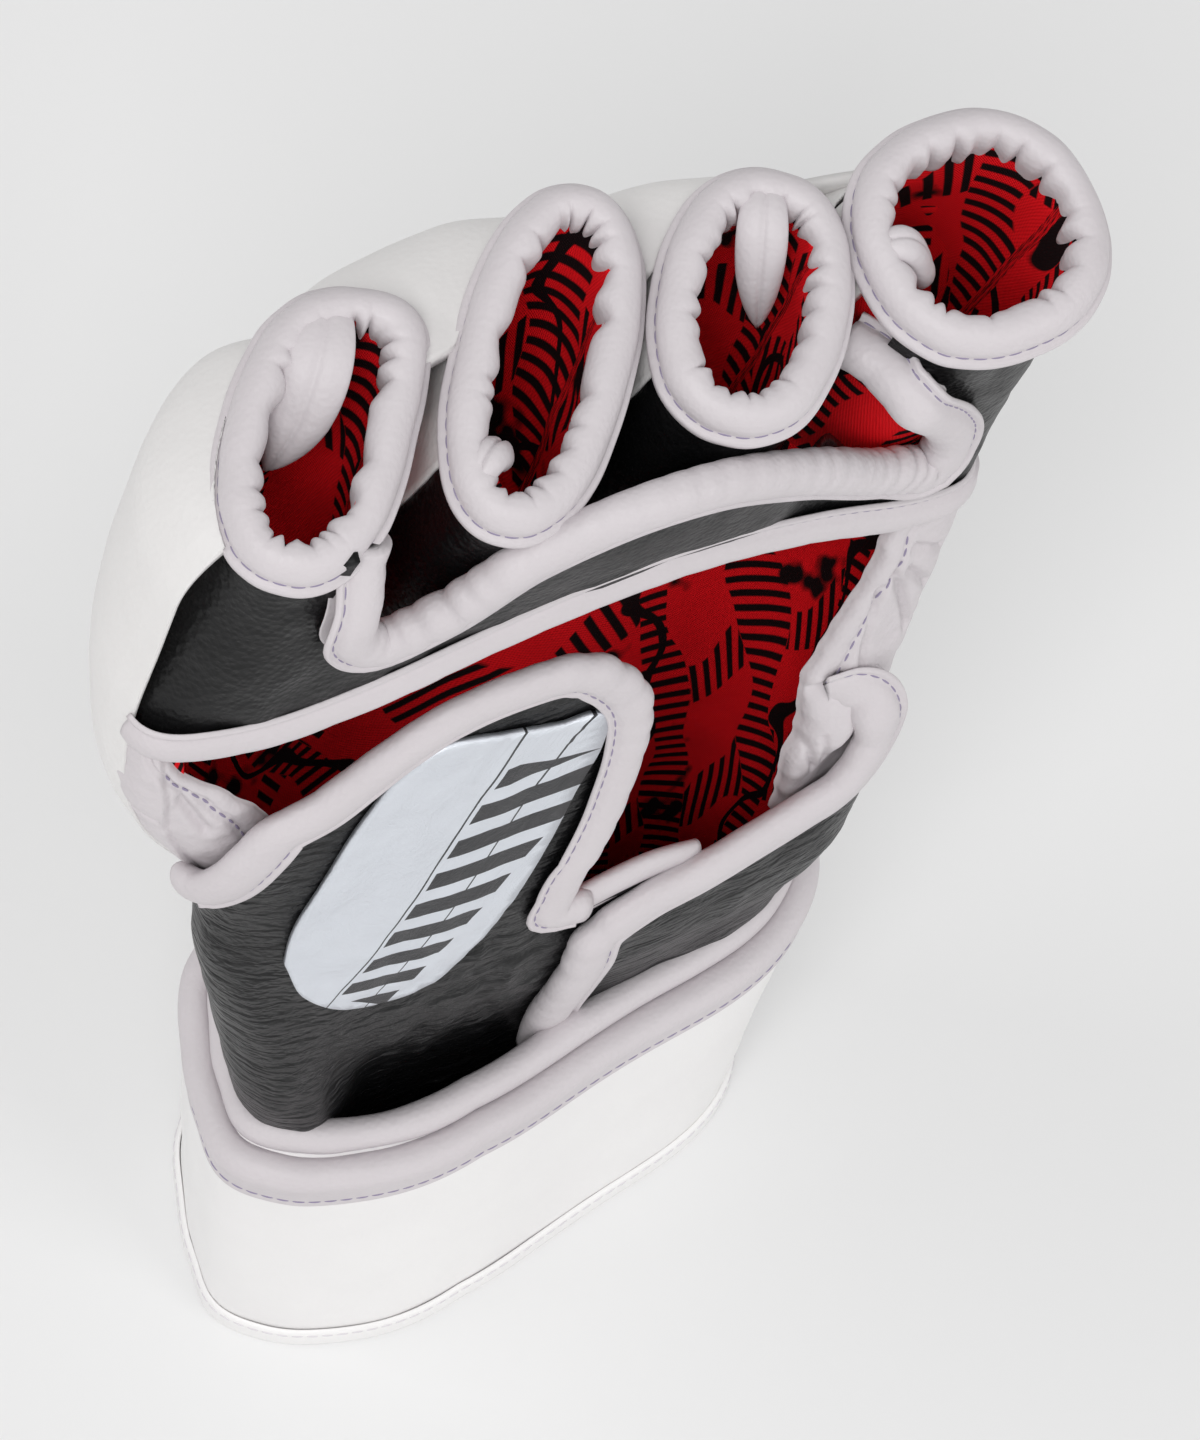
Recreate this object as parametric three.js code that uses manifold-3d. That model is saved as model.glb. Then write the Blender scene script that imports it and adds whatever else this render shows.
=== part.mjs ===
import * as THREE from "three";
import Module from "manifold-3d";

// A right-hand grappling glove in millimetres, standing on the lower edge of its wrist strap.
// +Z runs from wrist to fingertips, the palm faces -Y and the thumb side is +X.

// Leather, lining and padding, in layers counted outwards from the hand.
const GAP = 0.3;
const LINING = 1.2;
const LEATHER = 1.6;
const PAD = 9.0;
const STRAP = 2.4;
const SLEEVE_LINING = 1.0;
const SLEEVE_LEATHER = 1.4;

// Heights of the wrist strap, the hand and the finger openings.
const STRAP_HEIGHT = 57;
const HEM = 8;
const FORK = 158;
const CROWN = 184;
const RING_HEIGHT = 190;
const PAD_LOW = 118;
const PAD_HIGH = 189;
const RING_TILT = 12;

// Half widths of the rolled edge bindings.
const ROLL = 2.3;
const SLOT_ROLL = 3.1;
const THIN_ROLL = 1.1;
const FLAT_ROLL = 1.6;
const INNER_ROLL = 2.0;

// Layer offsets, each following from the one inside it.
const SHELL_IN = LINING + GAP;
const SHELL_OUT = SHELL_IN + LEATHER;
const HEEL_IN = SHELL_OUT + GAP;
const HEEL_OUT = HEEL_IN + LEATHER;
const THUMB_IN = HEEL_OUT + GAP;
const THUMB_OUT = THUMB_IN + LEATHER;

// Plan sections of the hand: height, centre x, half width, centre y, depth to the palm, depth to the back.
const HAND = [
  { z: 0, cx: -1, a: 27.5, cy: 1, front: 3, back: 17 },
  { z: 57, cx: 0.2, a: 30.9, cy: 0.5, front: 2.4, back: 17.5 },
  { z: 80, cx: 0.5, a: 36, cy: 0.5, front: 3.5, back: 18 },
  { z: 105, cx: 1, a: 41.5, cy: 3, front: 4.5, back: 20 },
  { z: 130, cx: 1, a: 48, cy: 7, front: 5, back: 21 },
  { z: 155, cx: 3.5, a: 51.5, cy: 9, front: 5, back: 20 },
  { z: 172, cx: 8, a: 52, cy: 10, front: 8, back: 19 },
  { z: 190, cx: 12, a: 51.5, cy: 11, front: 11, back: 18 },
];
const HAND_POWER = 2.6;

// Where the back of the hand ends: the little finger side and the thumb side, as angles round the hand.
const BACK_EDGE = { little: 202, thumb: -9 };

// Finger sleeves: foot centre and half sizes at the fork, ring centre, half sizes and turn at the opening.
const FINGERS = [
  {
    name: "little", x0: -34, y0: 16.5, w0: 12.6, h0: 13,
    x: -26, y: 17, w: 10.3, h: 17.4, turn: -38, from: 0, to: 180,
  },
  {
    name: "ring", x0: -9, y0: 17, w0: 11.9, h0: 13.5,
    x: 0.5, y: 16, w: 9.9, h: 21, turn: -38, from: 0, to: 180,
  },
  {
    name: "middle", x0: 15.5, y0: 17, w0: 12, h0: 13.5,
    x: 24.6, y: 13.5, w: 11, h: 16, turn: -36, from: 0, to: 180,
  },
  {
    name: "index", x0: 43, y0: 16.5, w0: 13.1, h0: 13,
    x: 51.6, y: 11.4, w: 14.6, h: 14.6, turn: 0, from: 0, to: 180,
  },
];

// Binding ends tucked into the openings: finger, where on its ring, how far in and down, half sizes.
const TAILS = [
  { name: "little_tail", finger: 0, angle: 78, reach: 11, drop: 13, wide: 3.6, thick: 1.3 },
  { name: "ring_knot", finger: 1, angle: 200, reach: 3.5, drop: 3, wide: 2.6, thick: 2.2 },
  { name: "middle_tail", finger: 2, angle: 62, reach: 9, drop: 12, wide: 4.2, thick: 1.4 },
  { name: "index_tail", finger: 3, angle: 172, reach: 4, drop: 7, wide: 3.0, thick: 1.8 },
];

// Edges seen from the palm, as x and height.
const BAND_EDGE = [
  { x: -51, z: 156 },
  { x: -45, z: 155.5 },
  { x: -34, z: 155 },
  { x: -22, z: 157 },
  { x: -10, z: 160 },
  { x: 2, z: 161.5 },
  { x: 15, z: 160 },
  { x: 28, z: 155 },
  { x: 41, z: 147.5 },
  { x: 50, z: 143 },
  { x: 55, z: 141.5 },
];
const SLOT_EDGE = [
  { x: -26.5, z: 187.5 },
  { x: -28.2, z: 182 },
  { x: -29, z: 175 },
  { x: -25.5, z: 170.5 },
  { x: -19, z: 172.5 },
  { x: -8, z: 181 },
  { x: 3, z: 183.5 },
  { x: 14, z: 181.5 },
  { x: 27, z: 173 },
  { x: 40, z: 159.8 },
  { x: 46.3, z: 155 },
  { x: 47.3, z: 159.5 },
  { x: 44.5, z: 169 },
  { x: 39.3, z: 177.5 },
];
// The slot's two ends turn in between the finger sleeves.
const SLOT_LEAD = [
  { x: -22, y: 6, z: 186.5 },
  { x: -24.4, y: 3, z: 188.5 },
];
const SLOT_TRAIL = [
  { x: 36.4, y: 6, z: 180.5 },
  { x: 34.7, y: 9, z: 180.4 },
];
const HEEL_EDGE = [
  { x: -47, z: 121 },
  { x: -43, z: 123 },
  { x: -38, z: 126 },
  { x: -33, z: 132 },
  { x: -28, z: 139 },
  { x: -23, z: 144 },
  { x: -16, z: 147.5 },
  { x: -8, z: 148.5 },
  { x: -1, z: 147.5 },
  { x: 4, z: 143 },
  { x: 7.4, z: 136 },
  { x: 7.6, z: 129 },
  { x: 5.4, z: 118 },
  { x: 2, z: 108 },
  { x: -0.8, z: 101 },
  { x: -1.2, z: 96 },
  { x: 2.5, z: 94.5 },
];
const HEEL_SILL = [
  { x: 6, z: 95.5 },
  { x: 14, z: 97.5 },
  { x: 24, z: 98.5 },
];
const THUMB_EDGE = [
  { x: 0.5, z: 52 },
  { x: 1.2, z: 66 },
  { x: 2.2, z: 80 },
  { x: 4.2, z: 88 },
  { x: 9.5, z: 90.5 },
  { x: 18, z: 91.5 },
  { x: 27, z: 93.5 },
  { x: 35, z: 95.5 },
  { x: 40.5, z: 98 },
  { x: 43.5, z: 103.5 },
  { x: 44.5, z: 109.5 },
];
const PATCH_EDGE = [
  { x: -35.5, z: 101 },
  { x: -31, z: 116 },
  { x: -24, z: 131 },
  { x: -17, z: 138.5 },
  { x: -8, z: 138 },
  { x: 1.5, z: 134.5 },
  { x: 1, z: 123 },
  { x: -2.5, z: 110 },
  { x: -6.5, z: 96 },
  { x: -13, z: 85.5 },
  { x: -21, z: 84 },
  { x: -30, z: 89 },
];

// Free edges of the back of the hand, as angle and height.
const LITTLE_SIDE = [
  { deg: 202, z: 152 },
  { deg: 204, z: 144 },
  { deg: 203, z: 136 },
  { deg: 201, z: 127 },
  { deg: 200, z: 112 },
];
const THUMB_SIDE = [
  { deg: -9, z: 141 },
  { deg: -10, z: 130 },
  { deg: -12, z: 120 },
  { deg: -18, z: 111 },
  { deg: -26, z: 104 },
  { deg: -30, z: 98 },
];

// Strap sections at its lower and upper edges: the outside of the outer wrap.
const WRAP = [
  { z: 0, cx: -0.4, a: 39.1, cy: 5.5, front: 23, back: 22.5 },
  { z: 30, cx: 1, a: 41, cy: 5.5, front: 23, back: 22.5 },
  { z: STRAP_HEIGHT, cx: 2.4, a: 42.7, cy: 5.5, front: 23, back: 22.5 },
];
const WRAP_POWER = 2.8;
// Closing tab of the strap, between two angles and two heights.
const TAB = { from: 62, to: 112, thick: 2.2, low: 5, high: STRAP_HEIGHT - 7 };

// Steps along and across the surfaces.
const TURN = 9;
const LEVELS = [30, 57, 80, 105, 130, 155, 172];
const SIDES = 6;
const FINE = 0.05;

const wasm = await Module();
wasm.setup();

function row(rows, key, at, name) {
  const n = rows.length;
  const x = rows.map((r) => r[key]);
  const y = rows.map((r) => r[name]);
  const v = Math.min(Math.max(at, x[0]), x[n - 1]);
  let k = 0;
  while (k < n - 2 && v > x[k + 1]) k += 1;
  const slope = (i) => (y[i + 1] - y[i]) / (x[i + 1] - x[i]);
  const tangent = (i) => {
    if (i === 0) return slope(0);
    if (i === n - 1) return slope(n - 2);
    const before = x[i] - x[i - 1];
    const after = x[i + 1] - x[i];
    return (before * slope(i) + after * slope(i - 1)) / (before + after);
  };
  const h = x[k + 1] - x[k];
  const t = (v - x[k]) / h;
  const rise = y[k] * (2 * t ** 3 - 3 * t ** 2 + 1) + y[k + 1] * (3 * t ** 2 - 2 * t ** 3);
  return rise + h * (tangent(k) * (t ** 3 - 2 * t ** 2 + t) + tangent(k + 1) * (t ** 3 - t ** 2));
}

function linear(rows, key, at, name) {
  let k = 0;
  while (k < rows.length - 2 && at > rows[k + 1][key]) k += 1;
  const p = rows[k];
  const q = rows[k + 1];
  const t = Math.min(Math.max((at - p[key]) / (q[key] - p[key]), 0), 1);
  return p[name] + (q[name] - p[name]) * t;
}

// A point of an oval whose sections change with height, moved out along its plan normal by `out`.
function oval(rows, power, deg, z, out) {
  const s = {};
  for (const name of ["cx", "a", "cy", "front", "back"]) s[name] = row(rows, "z", z, name);
  const flat = (angle) => {
    const c = Math.cos(angle);
    const d = Math.sin(angle);
    const x = s.cx + s.a * Math.sign(c) * Math.abs(c) ** (2 / power);
    const y = s.cy + (d > 0 ? s.back : s.front) * Math.sign(d) * Math.abs(d) ** (2 / power);
    return [x, y];
  };
  const angle = (deg * Math.PI) / 180;
  const [x, y] = flat(angle);
  const [x0, y0] = flat(angle - 0.02);
  const [x1, y1] = flat(angle + 0.02);
  const length = Math.hypot(x1 - x0, y1 - y0);
  return new THREE.Vector3(x + ((y1 - y0) / length) * out, y - ((x1 - x0) / length) * out, z);
}

const hand = (deg, z, out) => oval(HAND, HAND_POWER, deg, z, out);
const wrap = (deg, z, out) => oval(WRAP, WRAP_POWER, deg, z, out);

// The angle on the palm side of the hand at which the surface `out` from it has the given x.
function palmAngle(x, z, out) {
  let low = 180;
  let high = 360;
  for (let i = 0; i < 30; i += 1) {
    const mid = (low + high) / 2;
    if (hand(mid, z, out).x < x) low = mid;
    else high = mid;
  }
  return low;
}
const palm = (x, z, out) => hand(palmAngle(x, z, out), z, out);

function solid(points, faces) {
  const vertProperties = new Float32Array(points.flatMap((p) => [p.x, p.y, p.z]));
  const mesh = new wasm.Mesh({ numProp: 3, vertProperties, triVerts: new Uint32Array(faces.flat()) });
  return new wasm.Manifold(mesh);
}

function faceOut(made, points, faces) {
  if (made.volume() >= 0) return made;
  return solid(points, faces.map(([a, b, c]) => [a, c, b]));
}

// A wall of cloth or leather: side 0 is its inner face and side 1 its outer face.
function wall(across, along, face, closed = false) {
  const points = [];
  const columns = closed ? across : across + 1;
  for (const side of [0, 1])
    for (let j = 0; j <= along; j += 1)
      for (let i = 0; i < columns; i += 1) points.push(face(i / across, j / along, side));
  const id = (side, i, j) => (side * (along + 1) + j) * columns + (i % columns);
  const faces = [];
  const quad = (a, b, c, d) => faces.push([a, b, c], [a, c, d]);
  for (let j = 0; j < along; j += 1)
    for (let i = 0; i < across; i += 1) {
      quad(id(1, i, j), id(1, i + 1, j), id(1, i + 1, j + 1), id(1, i, j + 1));
      quad(id(0, i, j), id(0, i, j + 1), id(0, i + 1, j + 1), id(0, i + 1, j));
    }
  for (let i = 0; i < across; i += 1) {
    quad(id(0, i, 0), id(0, i + 1, 0), id(1, i + 1, 0), id(1, i, 0));
    quad(id(0, i, along), id(1, i, along), id(1, i + 1, along), id(0, i + 1, along));
  }
  if (!closed)
    for (let j = 0; j < along; j += 1) {
      quad(id(0, 0, j), id(1, 0, j), id(1, 0, j + 1), id(0, 0, j + 1));
      quad(id(0, across, j), id(0, across, j + 1), id(1, across, j + 1), id(1, across, j));
    }
  return faceOut(solid(points, faces), points, faces);
}

// Steps between two values that stop at each of the shared levels on the way.
const stops = (from, to, marks) => [from, ...marks.filter((m) => m > from + 1 && m < to - 1), to];
const TURNS = Array.from({ length: 80 }, (_, k) => (k - 20) * TURN);

// Part of the hand's surface between two angles and two heights, as a wall between two offsets.
function sheet(from, to, low, high, inner, outer) {
  const across = stops(from, to, TURNS);
  const along = stops(low, high, LEVELS);
  return wall(across.length - 1, along.length - 1, (u, v, side) => {
    const deg = across[Math.round(u * (across.length - 1))];
    const z = along[Math.round(v * (along.length - 1))];
    return hand(deg, z, side ? outer : inner);
  });
}

// A rolled binding along a path: `ups` point away from the leather, `wide` lies across it.
function roll(path, ups, wide, thick, closed = false) {
  const points = [];
  const n = path.length;
  for (let k = 0; k < n; k += 1) {
    const before = path[closed ? (k + n - 1) % n : Math.max(k - 1, 0)];
    const after = path[closed ? (k + 1) % n : Math.min(k + 1, n - 1)];
    const ahead = after.clone().sub(before).normalize();
    const side = ahead.clone().cross(ups[k]).normalize();
    const up = side.clone().cross(ahead);
    const w = typeof wide === "function" ? wide(k / (n - 1)) : wide;
    const t = typeof thick === "function" ? thick(k / (n - 1)) : thick;
    for (let s = 0; s < SIDES; s += 1) {
      const angle = (s / SIDES) * 2 * Math.PI;
      const p = path[k].clone().addScaledVector(side, w * Math.cos(angle));
      points.push(p.addScaledVector(up, t * Math.sin(angle)));
    }
  }
  const faces = [];
  const rings = closed ? n : n - 1;
  for (let k = 0; k < rings; k += 1)
    for (let s = 0; s < SIDES; s += 1) {
      const a = k * SIDES + s;
      const b = k * SIDES + ((s + 1) % SIDES);
      const c = ((k + 1) % n) * SIDES + ((s + 1) % SIDES);
      const d = ((k + 1) % n) * SIDES + s;
      faces.push([a, b, c], [a, c, d]);
    }
  if (!closed)
    for (let s = 1; s < SIDES - 1; s += 1) {
      faces.push([0, s + 1, s]);
      faces.push([(n - 1) * SIDES, (n - 1) * SIDES + s, (n - 1) * SIDES + s + 1]);
    }
  return faceOut(solid(points, faces), points, faces);
}

// A smooth run of table rows, as the same number of steps between each two.
function smooth(rows, keys, steps) {
  const curve = new THREE.CatmullRomCurve3(rows.map((r) => new THREE.Vector3(r[keys[0]], r[keys[1]], 0)));
  return curve.getPoints(steps).map((p) => ({ [keys[0]]: p.x, [keys[1]]: p.y }));
}

// A prism through the glove from the palm side, whose outline is given as x and height.
function cutter(outline, from, to) {
  const shape = new wasm.CrossSection([outline.map((p) => [p.x, p.z])], "EvenOdd");
  return shape.extrude(to - from).rotate([90, 0, 0]).translate([0, to, 0]);
}

const largest = (made) => made.decompose().sort((p, q) => q.volume() - p.volume())[0];
const join = (parts) => parts.reduce((all, part) => all.add(part));
const less = (made, cuts) => largest(cuts.reduce((left, cut) => left.subtract(cut), made));

// Finger sleeves.
const turned = (angle, w, h, turn) => {
  const t = ((angle - turn) * Math.PI) / 180;
  const u = w * Math.sign(Math.cos(t)) * Math.abs(Math.cos(t)) ** 0.87;
  const v = h * Math.sign(Math.sin(t)) * Math.abs(Math.sin(t)) ** 0.87;
  const r = (turn * Math.PI) / 180;
  return [u * Math.cos(r) - v * Math.sin(r), u * Math.sin(r) + v * Math.cos(r)];
};
const tilt = (RING_TILT * Math.PI) / 180;
function ringPoint(f, angle, out) {
  const [u, v] = turned(angle, f.w + out, f.h + out, f.turn);
  return new THREE.Vector3(f.x + u, f.y + v * Math.cos(tilt), RING_HEIGHT + v * Math.sin(tilt));
}
function sleeve(f, angle, share, out) {
  const [u, v] = turned(angle, f.w0 + out, f.h0 + out, 0);
  const foot = new THREE.Vector3(f.x0 + u, f.y0 + v, FORK);
  return foot.lerp(ringPoint(f, angle, out - ROLL + SLEEVE_LEATHER / 2), share);
}
const FACET = 20;
const FACETS = Array.from({ length: 40 }, (_, k) => (k - 5) * FACET);
const CORNERS = Array.from({ length: 360 / FACET }, (_, k) => k * FACET);
function sleeveWall(f, from, to, inner, outer) {
  const across = stops(from, to, FACETS);
  const last = across.length - 1;
  return wall(last, 2, (u, v, side) => sleeve(f, across[Math.round(u * last)], v, side ? outer : inner));
}
const sleeveFull = (f, inner, outer) =>
  wall(360 / FACET, 2, (u, v, side) => sleeve(f, 360 * u, v, side ? outer : inner), true);
function sleeveBlock(f, out) {
  const ring = (share, drop) =>
    CORNERS.map((angle) => sleeve(f, angle, share, out).add(new THREE.Vector3(0, 0, drop)));
  return wasm.Manifold.hull([...ring(0, -0.2), ...ring(1, 0), ...ring(1, 6)].map((p) => [p.x, p.y, p.z]));
}
const blocks = FINGERS.map((f) => sleeveBlock(f, GAP));
const allBlocks = join(blocks);

const pieces = [];
const add = (name, made, colour) => pieces.push({ name, made: largest(made.simplify(FINE)), colour });
const WHITE = "#efeceb";
const TRIM = "#e4dde2";
const BLACK = "#1d1d1f";
const RED = "#b3121c";
const SILVER = "#dfe3e8";

// Ring bindings, each clear of the ones already placed.
const rings = [];
FINGERS.forEach((f) => {
  const path = Array.from({ length: 24 }, (_, k) => ringPoint(f, k * 15, -ROLL));
  const up = path.map(() => new THREE.Vector3(0, -Math.sin(tilt), Math.cos(tilt)));
  const make = (r) => roll(path, up, r, r, true);
  const made = less(make(ROLL), rings.map((r) => r.wide));
  rings.push({ made, wide: make(ROLL + GAP) });
  add(f.name + "_binding", made, TRIM);
});
const ringCuts = join(rings.map((r) => r.wide));

// Palm side edges: each binding is a roll along its edge, and its wider twin cuts the leather it holds.
function edging(rows, steps, out, wide, thick, lead = [], trail = []) {
  const line = smooth(rows, ["x", "z"], steps);
  const run = line.map((p) => palm(p.x, p.z, out));
  const away = line.map((p, k) => palm(p.x, p.z, out + 4).sub(run[k]).normalize());
  const point = (p) => new THREE.Vector3(p.x, p.y, p.z);
  const over = () => new THREE.Vector3(0, -0.4, 0.9);
  const path = [...lead.map(point), ...run, ...trail.map(point)];
  const up = [...lead.map(over), ...away, ...trail.map(over)];
  return { line, made: roll(path, up, wide, thick), cut: roll(path, up, wide + GAP, thick + GAP) };
}
const band = edging(BAND_EDGE, 18, (SHELL_IN + SHELL_OUT) / 2, ROLL, ROLL);
const slot = edging(SLOT_EDGE, 30, (SHELL_IN + SHELL_OUT) / 2, SLOT_ROLL, ROLL, SLOT_LEAD, SLOT_TRAIL);
const heel = edging(HEEL_EDGE, 28, HEEL_IN + FLAT_ROLL, ROLL, FLAT_ROLL);
const thumb = edging(THUMB_EDGE, 18, THUMB_IN + FLAT_ROLL, ROLL, FLAT_ROLL);

function sideEdge(rows, steps, out) {
  const line = smooth(rows, ["deg", "z"], steps);
  const path = line.map((p) => hand(p.deg, p.z, out));
  const up = line.map((p, k) => hand(p.deg, p.z, out + 4).sub(path[k]).normalize());
  return { made: roll(path, up, ROLL, ROLL), cut: roll(path, up, ROLL + GAP, ROLL + GAP) };
}
const littleSide = sideEdge(LITTLE_SIDE, 8, (SHELL_IN + SHELL_OUT) / 2);
const thumbSide = sideEdge(THUMB_SIDE, 10, (SHELL_IN + SHELL_OUT) / 2);

// The back of the hand, from the wrist to behind the finger openings.
const backSheet = (inner, outer) => sheet(BACK_EDGE.thumb, BACK_EDGE.little, HEM, CROWN, inner, outer);

// The palm band: leather under the fingers that runs up to the little and index openings.
const bandLow = (deg) => linear(BAND_EDGE, "x", hand(deg, 155, SHELL_OUT).x, "z");
const bandSheet = (inner, outer, slack) => {
  const across = stops(182 - slack, 366 + slack, TURNS);
  return wall(across.length - 1, 4, (u, v, side) => {
    const deg = across[Math.round(u * (across.length - 1))];
    const low = bandLow(deg) - slack;
    return hand(deg, low + (CROWN + 3 - low) * v, side ? outer : inner);
  });
};
const slotHole = cutter([...SLOT_EDGE, { x: 33, z: 230 }, { x: -27, z: 230 }], -60, 9);
const outerFingers = [FINGERS[0], FINGERS[3]];
const outerFronts = outerFingers.map((f) => sleeveWall(f, f.to + 1, f.from + 359, -SLEEVE_LEATHER, 0));
const outerHollows = join(outerFingers.map((f) => sleeveBlock(f, -SLEEVE_LEATHER)));
const innerBlocks = join([blocks[1], blocks[2]]);
const bandLeather = join([bandSheet(SHELL_IN, SHELL_OUT, 0).subtract(outerHollows), ...outerFronts]);
const bandPiece = less(bandLeather, [slotHole, slot.cut, band.cut, ringCuts, innerBlocks]);
const bandWide = bandSheet(SHELL_IN - GAP, SHELL_OUT + GAP, 1);

// Flaps that close over the heel of the hand and over the base of the thumb.
const sill = edging(HEEL_SILL, 8, HEEL_IN + THIN_ROLL, THIN_ROLL, THIN_ROLL);
const heelOutline = [
  { x: -90, z: 108 },
  { x: -48.5, z: 108 },
  ...HEEL_EDGE,
  ...HEEL_SILL,
  { x: 90, z: 100 },
  { x: 90, z: -9 },
  { x: -90, z: -9 },
];
const heelCutter = cutter(heelOutline, -60, 60);
const heelSheet = (inner, outer) => sheet(176, 318, HEM, 151, inner, outer).intersect(heelCutter);
const thumbOutline = [
  ...THUMB_EDGE,
  { x: 46.5, z: 99 },
  { x: 90, z: 99 },
  { x: 90, z: -9 },
  { x: 0.5, z: -9 },
];
const thumbCutter = cutter(thumbOutline, -60, 60);
const thumbSheet = (inner, outer) => sheet(262, 368, HEM, 113, inner, outer).intersect(thumbCutter);
const thumbWide = thumbSheet(THUMB_IN - GAP, THUMB_OUT + GAP);
const heelWide = heelSheet(HEEL_IN - GAP, HEEL_OUT + GAP);
const patchIn = HEEL_OUT + GAP;
const patchLine = smooth([...PATCH_EDGE, PATCH_EDGE[0]], ["x", "z"], 24).slice(0, -1);
const patchSheet = sheet(200, 285, 75, 145, patchIn, patchIn + 0.8).intersect(cutter(patchLine, -60, 60));

const heelPiece = less(heelSheet(HEEL_IN, HEEL_OUT), [heel.cut, sill.cut]);
const thumbPiece = less(thumbSheet(THUMB_IN, THUMB_OUT), [thumb.cut]);
const backCuts = [allBlocks, littleSide.cut, thumbSide.cut];
add("lining", less(backSheet(0, LINING), [...backCuts, slot.cut, band.cut]), RED);
add("back_shell", less(backSheet(SHELL_IN, SHELL_OUT), [...backCuts, bandWide, band.cut]), WHITE);

// Knuckle padding: thickest behind the finger openings, thinning to its lower edge and its sides.
const soft = (x) => Math.min(Math.max(x, 0), 1) ** 2 * (3 - 2 * Math.min(Math.max(x, 0), 1));
function padding(from, to, low, high, thick, side1, side2, across) {
  return wall(across, 8, (u, v, side) => {
    const swell = soft(u / side1) * soft((1 - u) / side2) * soft(v / 0.85);
    const edge = soft((1 - v) / 0.2) * soft(v / 0.05);
    const base = SHELL_OUT + GAP;
    const out = side ? base + 0.6 + thick * swell * edge : base;
    return hand(from + (to - from) * u, low + (high - low) * v, out);
  });
}
const padCuts = [allBlocks, ringCuts, bandWide, heelWide];
add("knuckle_pad", less(padding(70, 179, PAD_LOW, PAD_HIGH, PAD, 0.25, 0.5, 16), padCuts), WHITE);
add("index_pad", less(padding(12, 58, PAD_LOW, PAD_HIGH - 6, PAD * 0.35, 0.4, 0.4, 8), padCuts), WHITE);

add("palm_band", bandPiece, BLACK);
add("slot_binding", less(slot.made, [ringCuts]), TRIM);
add("palm_band_binding", less(band.made, [slot.cut]), TRIM);

// Sleeves of the four fingers: leather outside, lining inside.
FINGERS.forEach((f, k) => {
  const others = blocks.filter((_, j) => j !== k && j < k);
  const cuts = [ringCuts, slot.cut, band.cut, ...others];
  const back = sleeveWall(f, f.from, f.to, -SLEEVE_LEATHER, 0);
  add(f.name + "_back", less(back, cuts), WHITE);
  if (!outerFingers.includes(f)) {
    const front = sleeveWall(f, f.to + 1, f.from + 359, -SLEEVE_LEATHER, 0);
    add(f.name + "_front", less(front, cuts), BLACK);
  }
  const skin = -SLEEVE_LEATHER - GAP;
  add(f.name + "_lining", less(sleeveFull(f, skin - SLEEVE_LINING, skin), cuts), RED);
});

TAILS.forEach((t) => {
  const f = FINGERS[t.finger];
  const start = ringPoint(f, t.angle, -2 * ROLL + 0.6);
  const inward = new THREE.Vector3(f.x, f.y, RING_HEIGHT).sub(start).setZ(0).normalize();
  const path = Array.from({ length: 7 }, (_, k) => {
    const s = k / 6;
    const fall = new THREE.Vector3(0, 0, -t.drop * s * s);
    return start.clone().addScaledVector(inward, t.reach * Math.sin(s * 1.5)).add(fall);
  });
  const up = path.map((_, k) => new THREE.Vector3(0, 0, 1).addScaledVector(inward, k / 4));
  const width = (s) => t.wide * (0.55 + 0.9 * s - 0.75 * s * s);
  const skin = sleeveFull(f, -SLEEVE_LEATHER - 2 * GAP - SLEEVE_LINING, 1);
  add(t.name, less(roll(path, up, width, t.thick), [ringCuts, skin]), TRIM);
});

add("little_side_binding", less(littleSide.made, [band.cut, bandWide, heel.cut, heelWide]), TRIM);
add("thumb_side_binding", less(thumbSide.made, [band.cut, bandWide, thumb.cut, heelWide]), TRIM);
add("heel_flap", heelPiece, BLACK);
add("heel_flap_binding", less(heel.made, [band.cut]), TRIM);
add("heel_sill_binding", less(sill.made, [heel.cut, thumb.cut, thumbSide.cut]), TRIM);
add("patch", less(patchSheet, [heel.cut]), SILVER);
add("thumb_flap", thumbPiece, BLACK);

// Wrist strap: an inner turn, an outer turn over it, and the closing tab at the back.
const HOOP = 40;
const strapWall = (inner, outer, low, high) =>
  wall(HOOP, 1, (u, v, side) => wrap(360 * u, low + (high - low) * v, side ? outer : inner), true);
const innerOut = -STRAP - GAP;
const hoop = (z, out, r) => {
  const path = Array.from({ length: HOOP }, (_, k) => wrap((360 * k) / HOOP, z, out));
  return roll(path, path.map(() => new THREE.Vector3(0, 0, 1)), r, r, true);
};
const outerRim = [STRAP_HEIGHT - ROLL, ROLL - STRAP];
const innerRim = [STRAP_HEIGHT + 1.2, innerOut - INNER_ROLL];
const outerRimCut = hoop(...outerRim, ROLL + GAP);
const hem = 4;
add("inner_strap", strapWall(innerOut - LEATHER, innerOut, 3, innerRim[0] - INNER_ROLL - GAP), WHITE);
const backWide = backSheet(SHELL_IN - GAP, SHELL_OUT + GAP);
const innerRimCuts = [outerRimCut, thumb.cut, thumbWide, heelWide, backWide];
add("inner_strap_binding", less(hoop(...innerRim, INNER_ROLL), innerRimCuts), TRIM);
add("outer_strap", strapWall(-STRAP, 0, 0, outerRim[0] - ROLL - GAP), WHITE);
add("outer_strap_binding", hoop(...outerRim, ROLL), TRIM);
add("outer_strap_hem", strapWall(GAP, GAP + 0.9, 0, hem), TRIM);
const tab = wall(10, 1, (u, v, side) => {
  const out = side ? GAP + TAB.thick : GAP;
  return wrap(TAB.from + (TAB.to - TAB.from) * u, TAB.low + (TAB.high - TAB.low) * v, out);
});
add("strap_tab", tab, WHITE);
const innerFace = strapWall(innerOut - LEATHER - GAP, 2, 3, STRAP_HEIGHT);
add("thumb_flap_binding", less(thumb.made, [innerFace]), TRIM);

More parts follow.
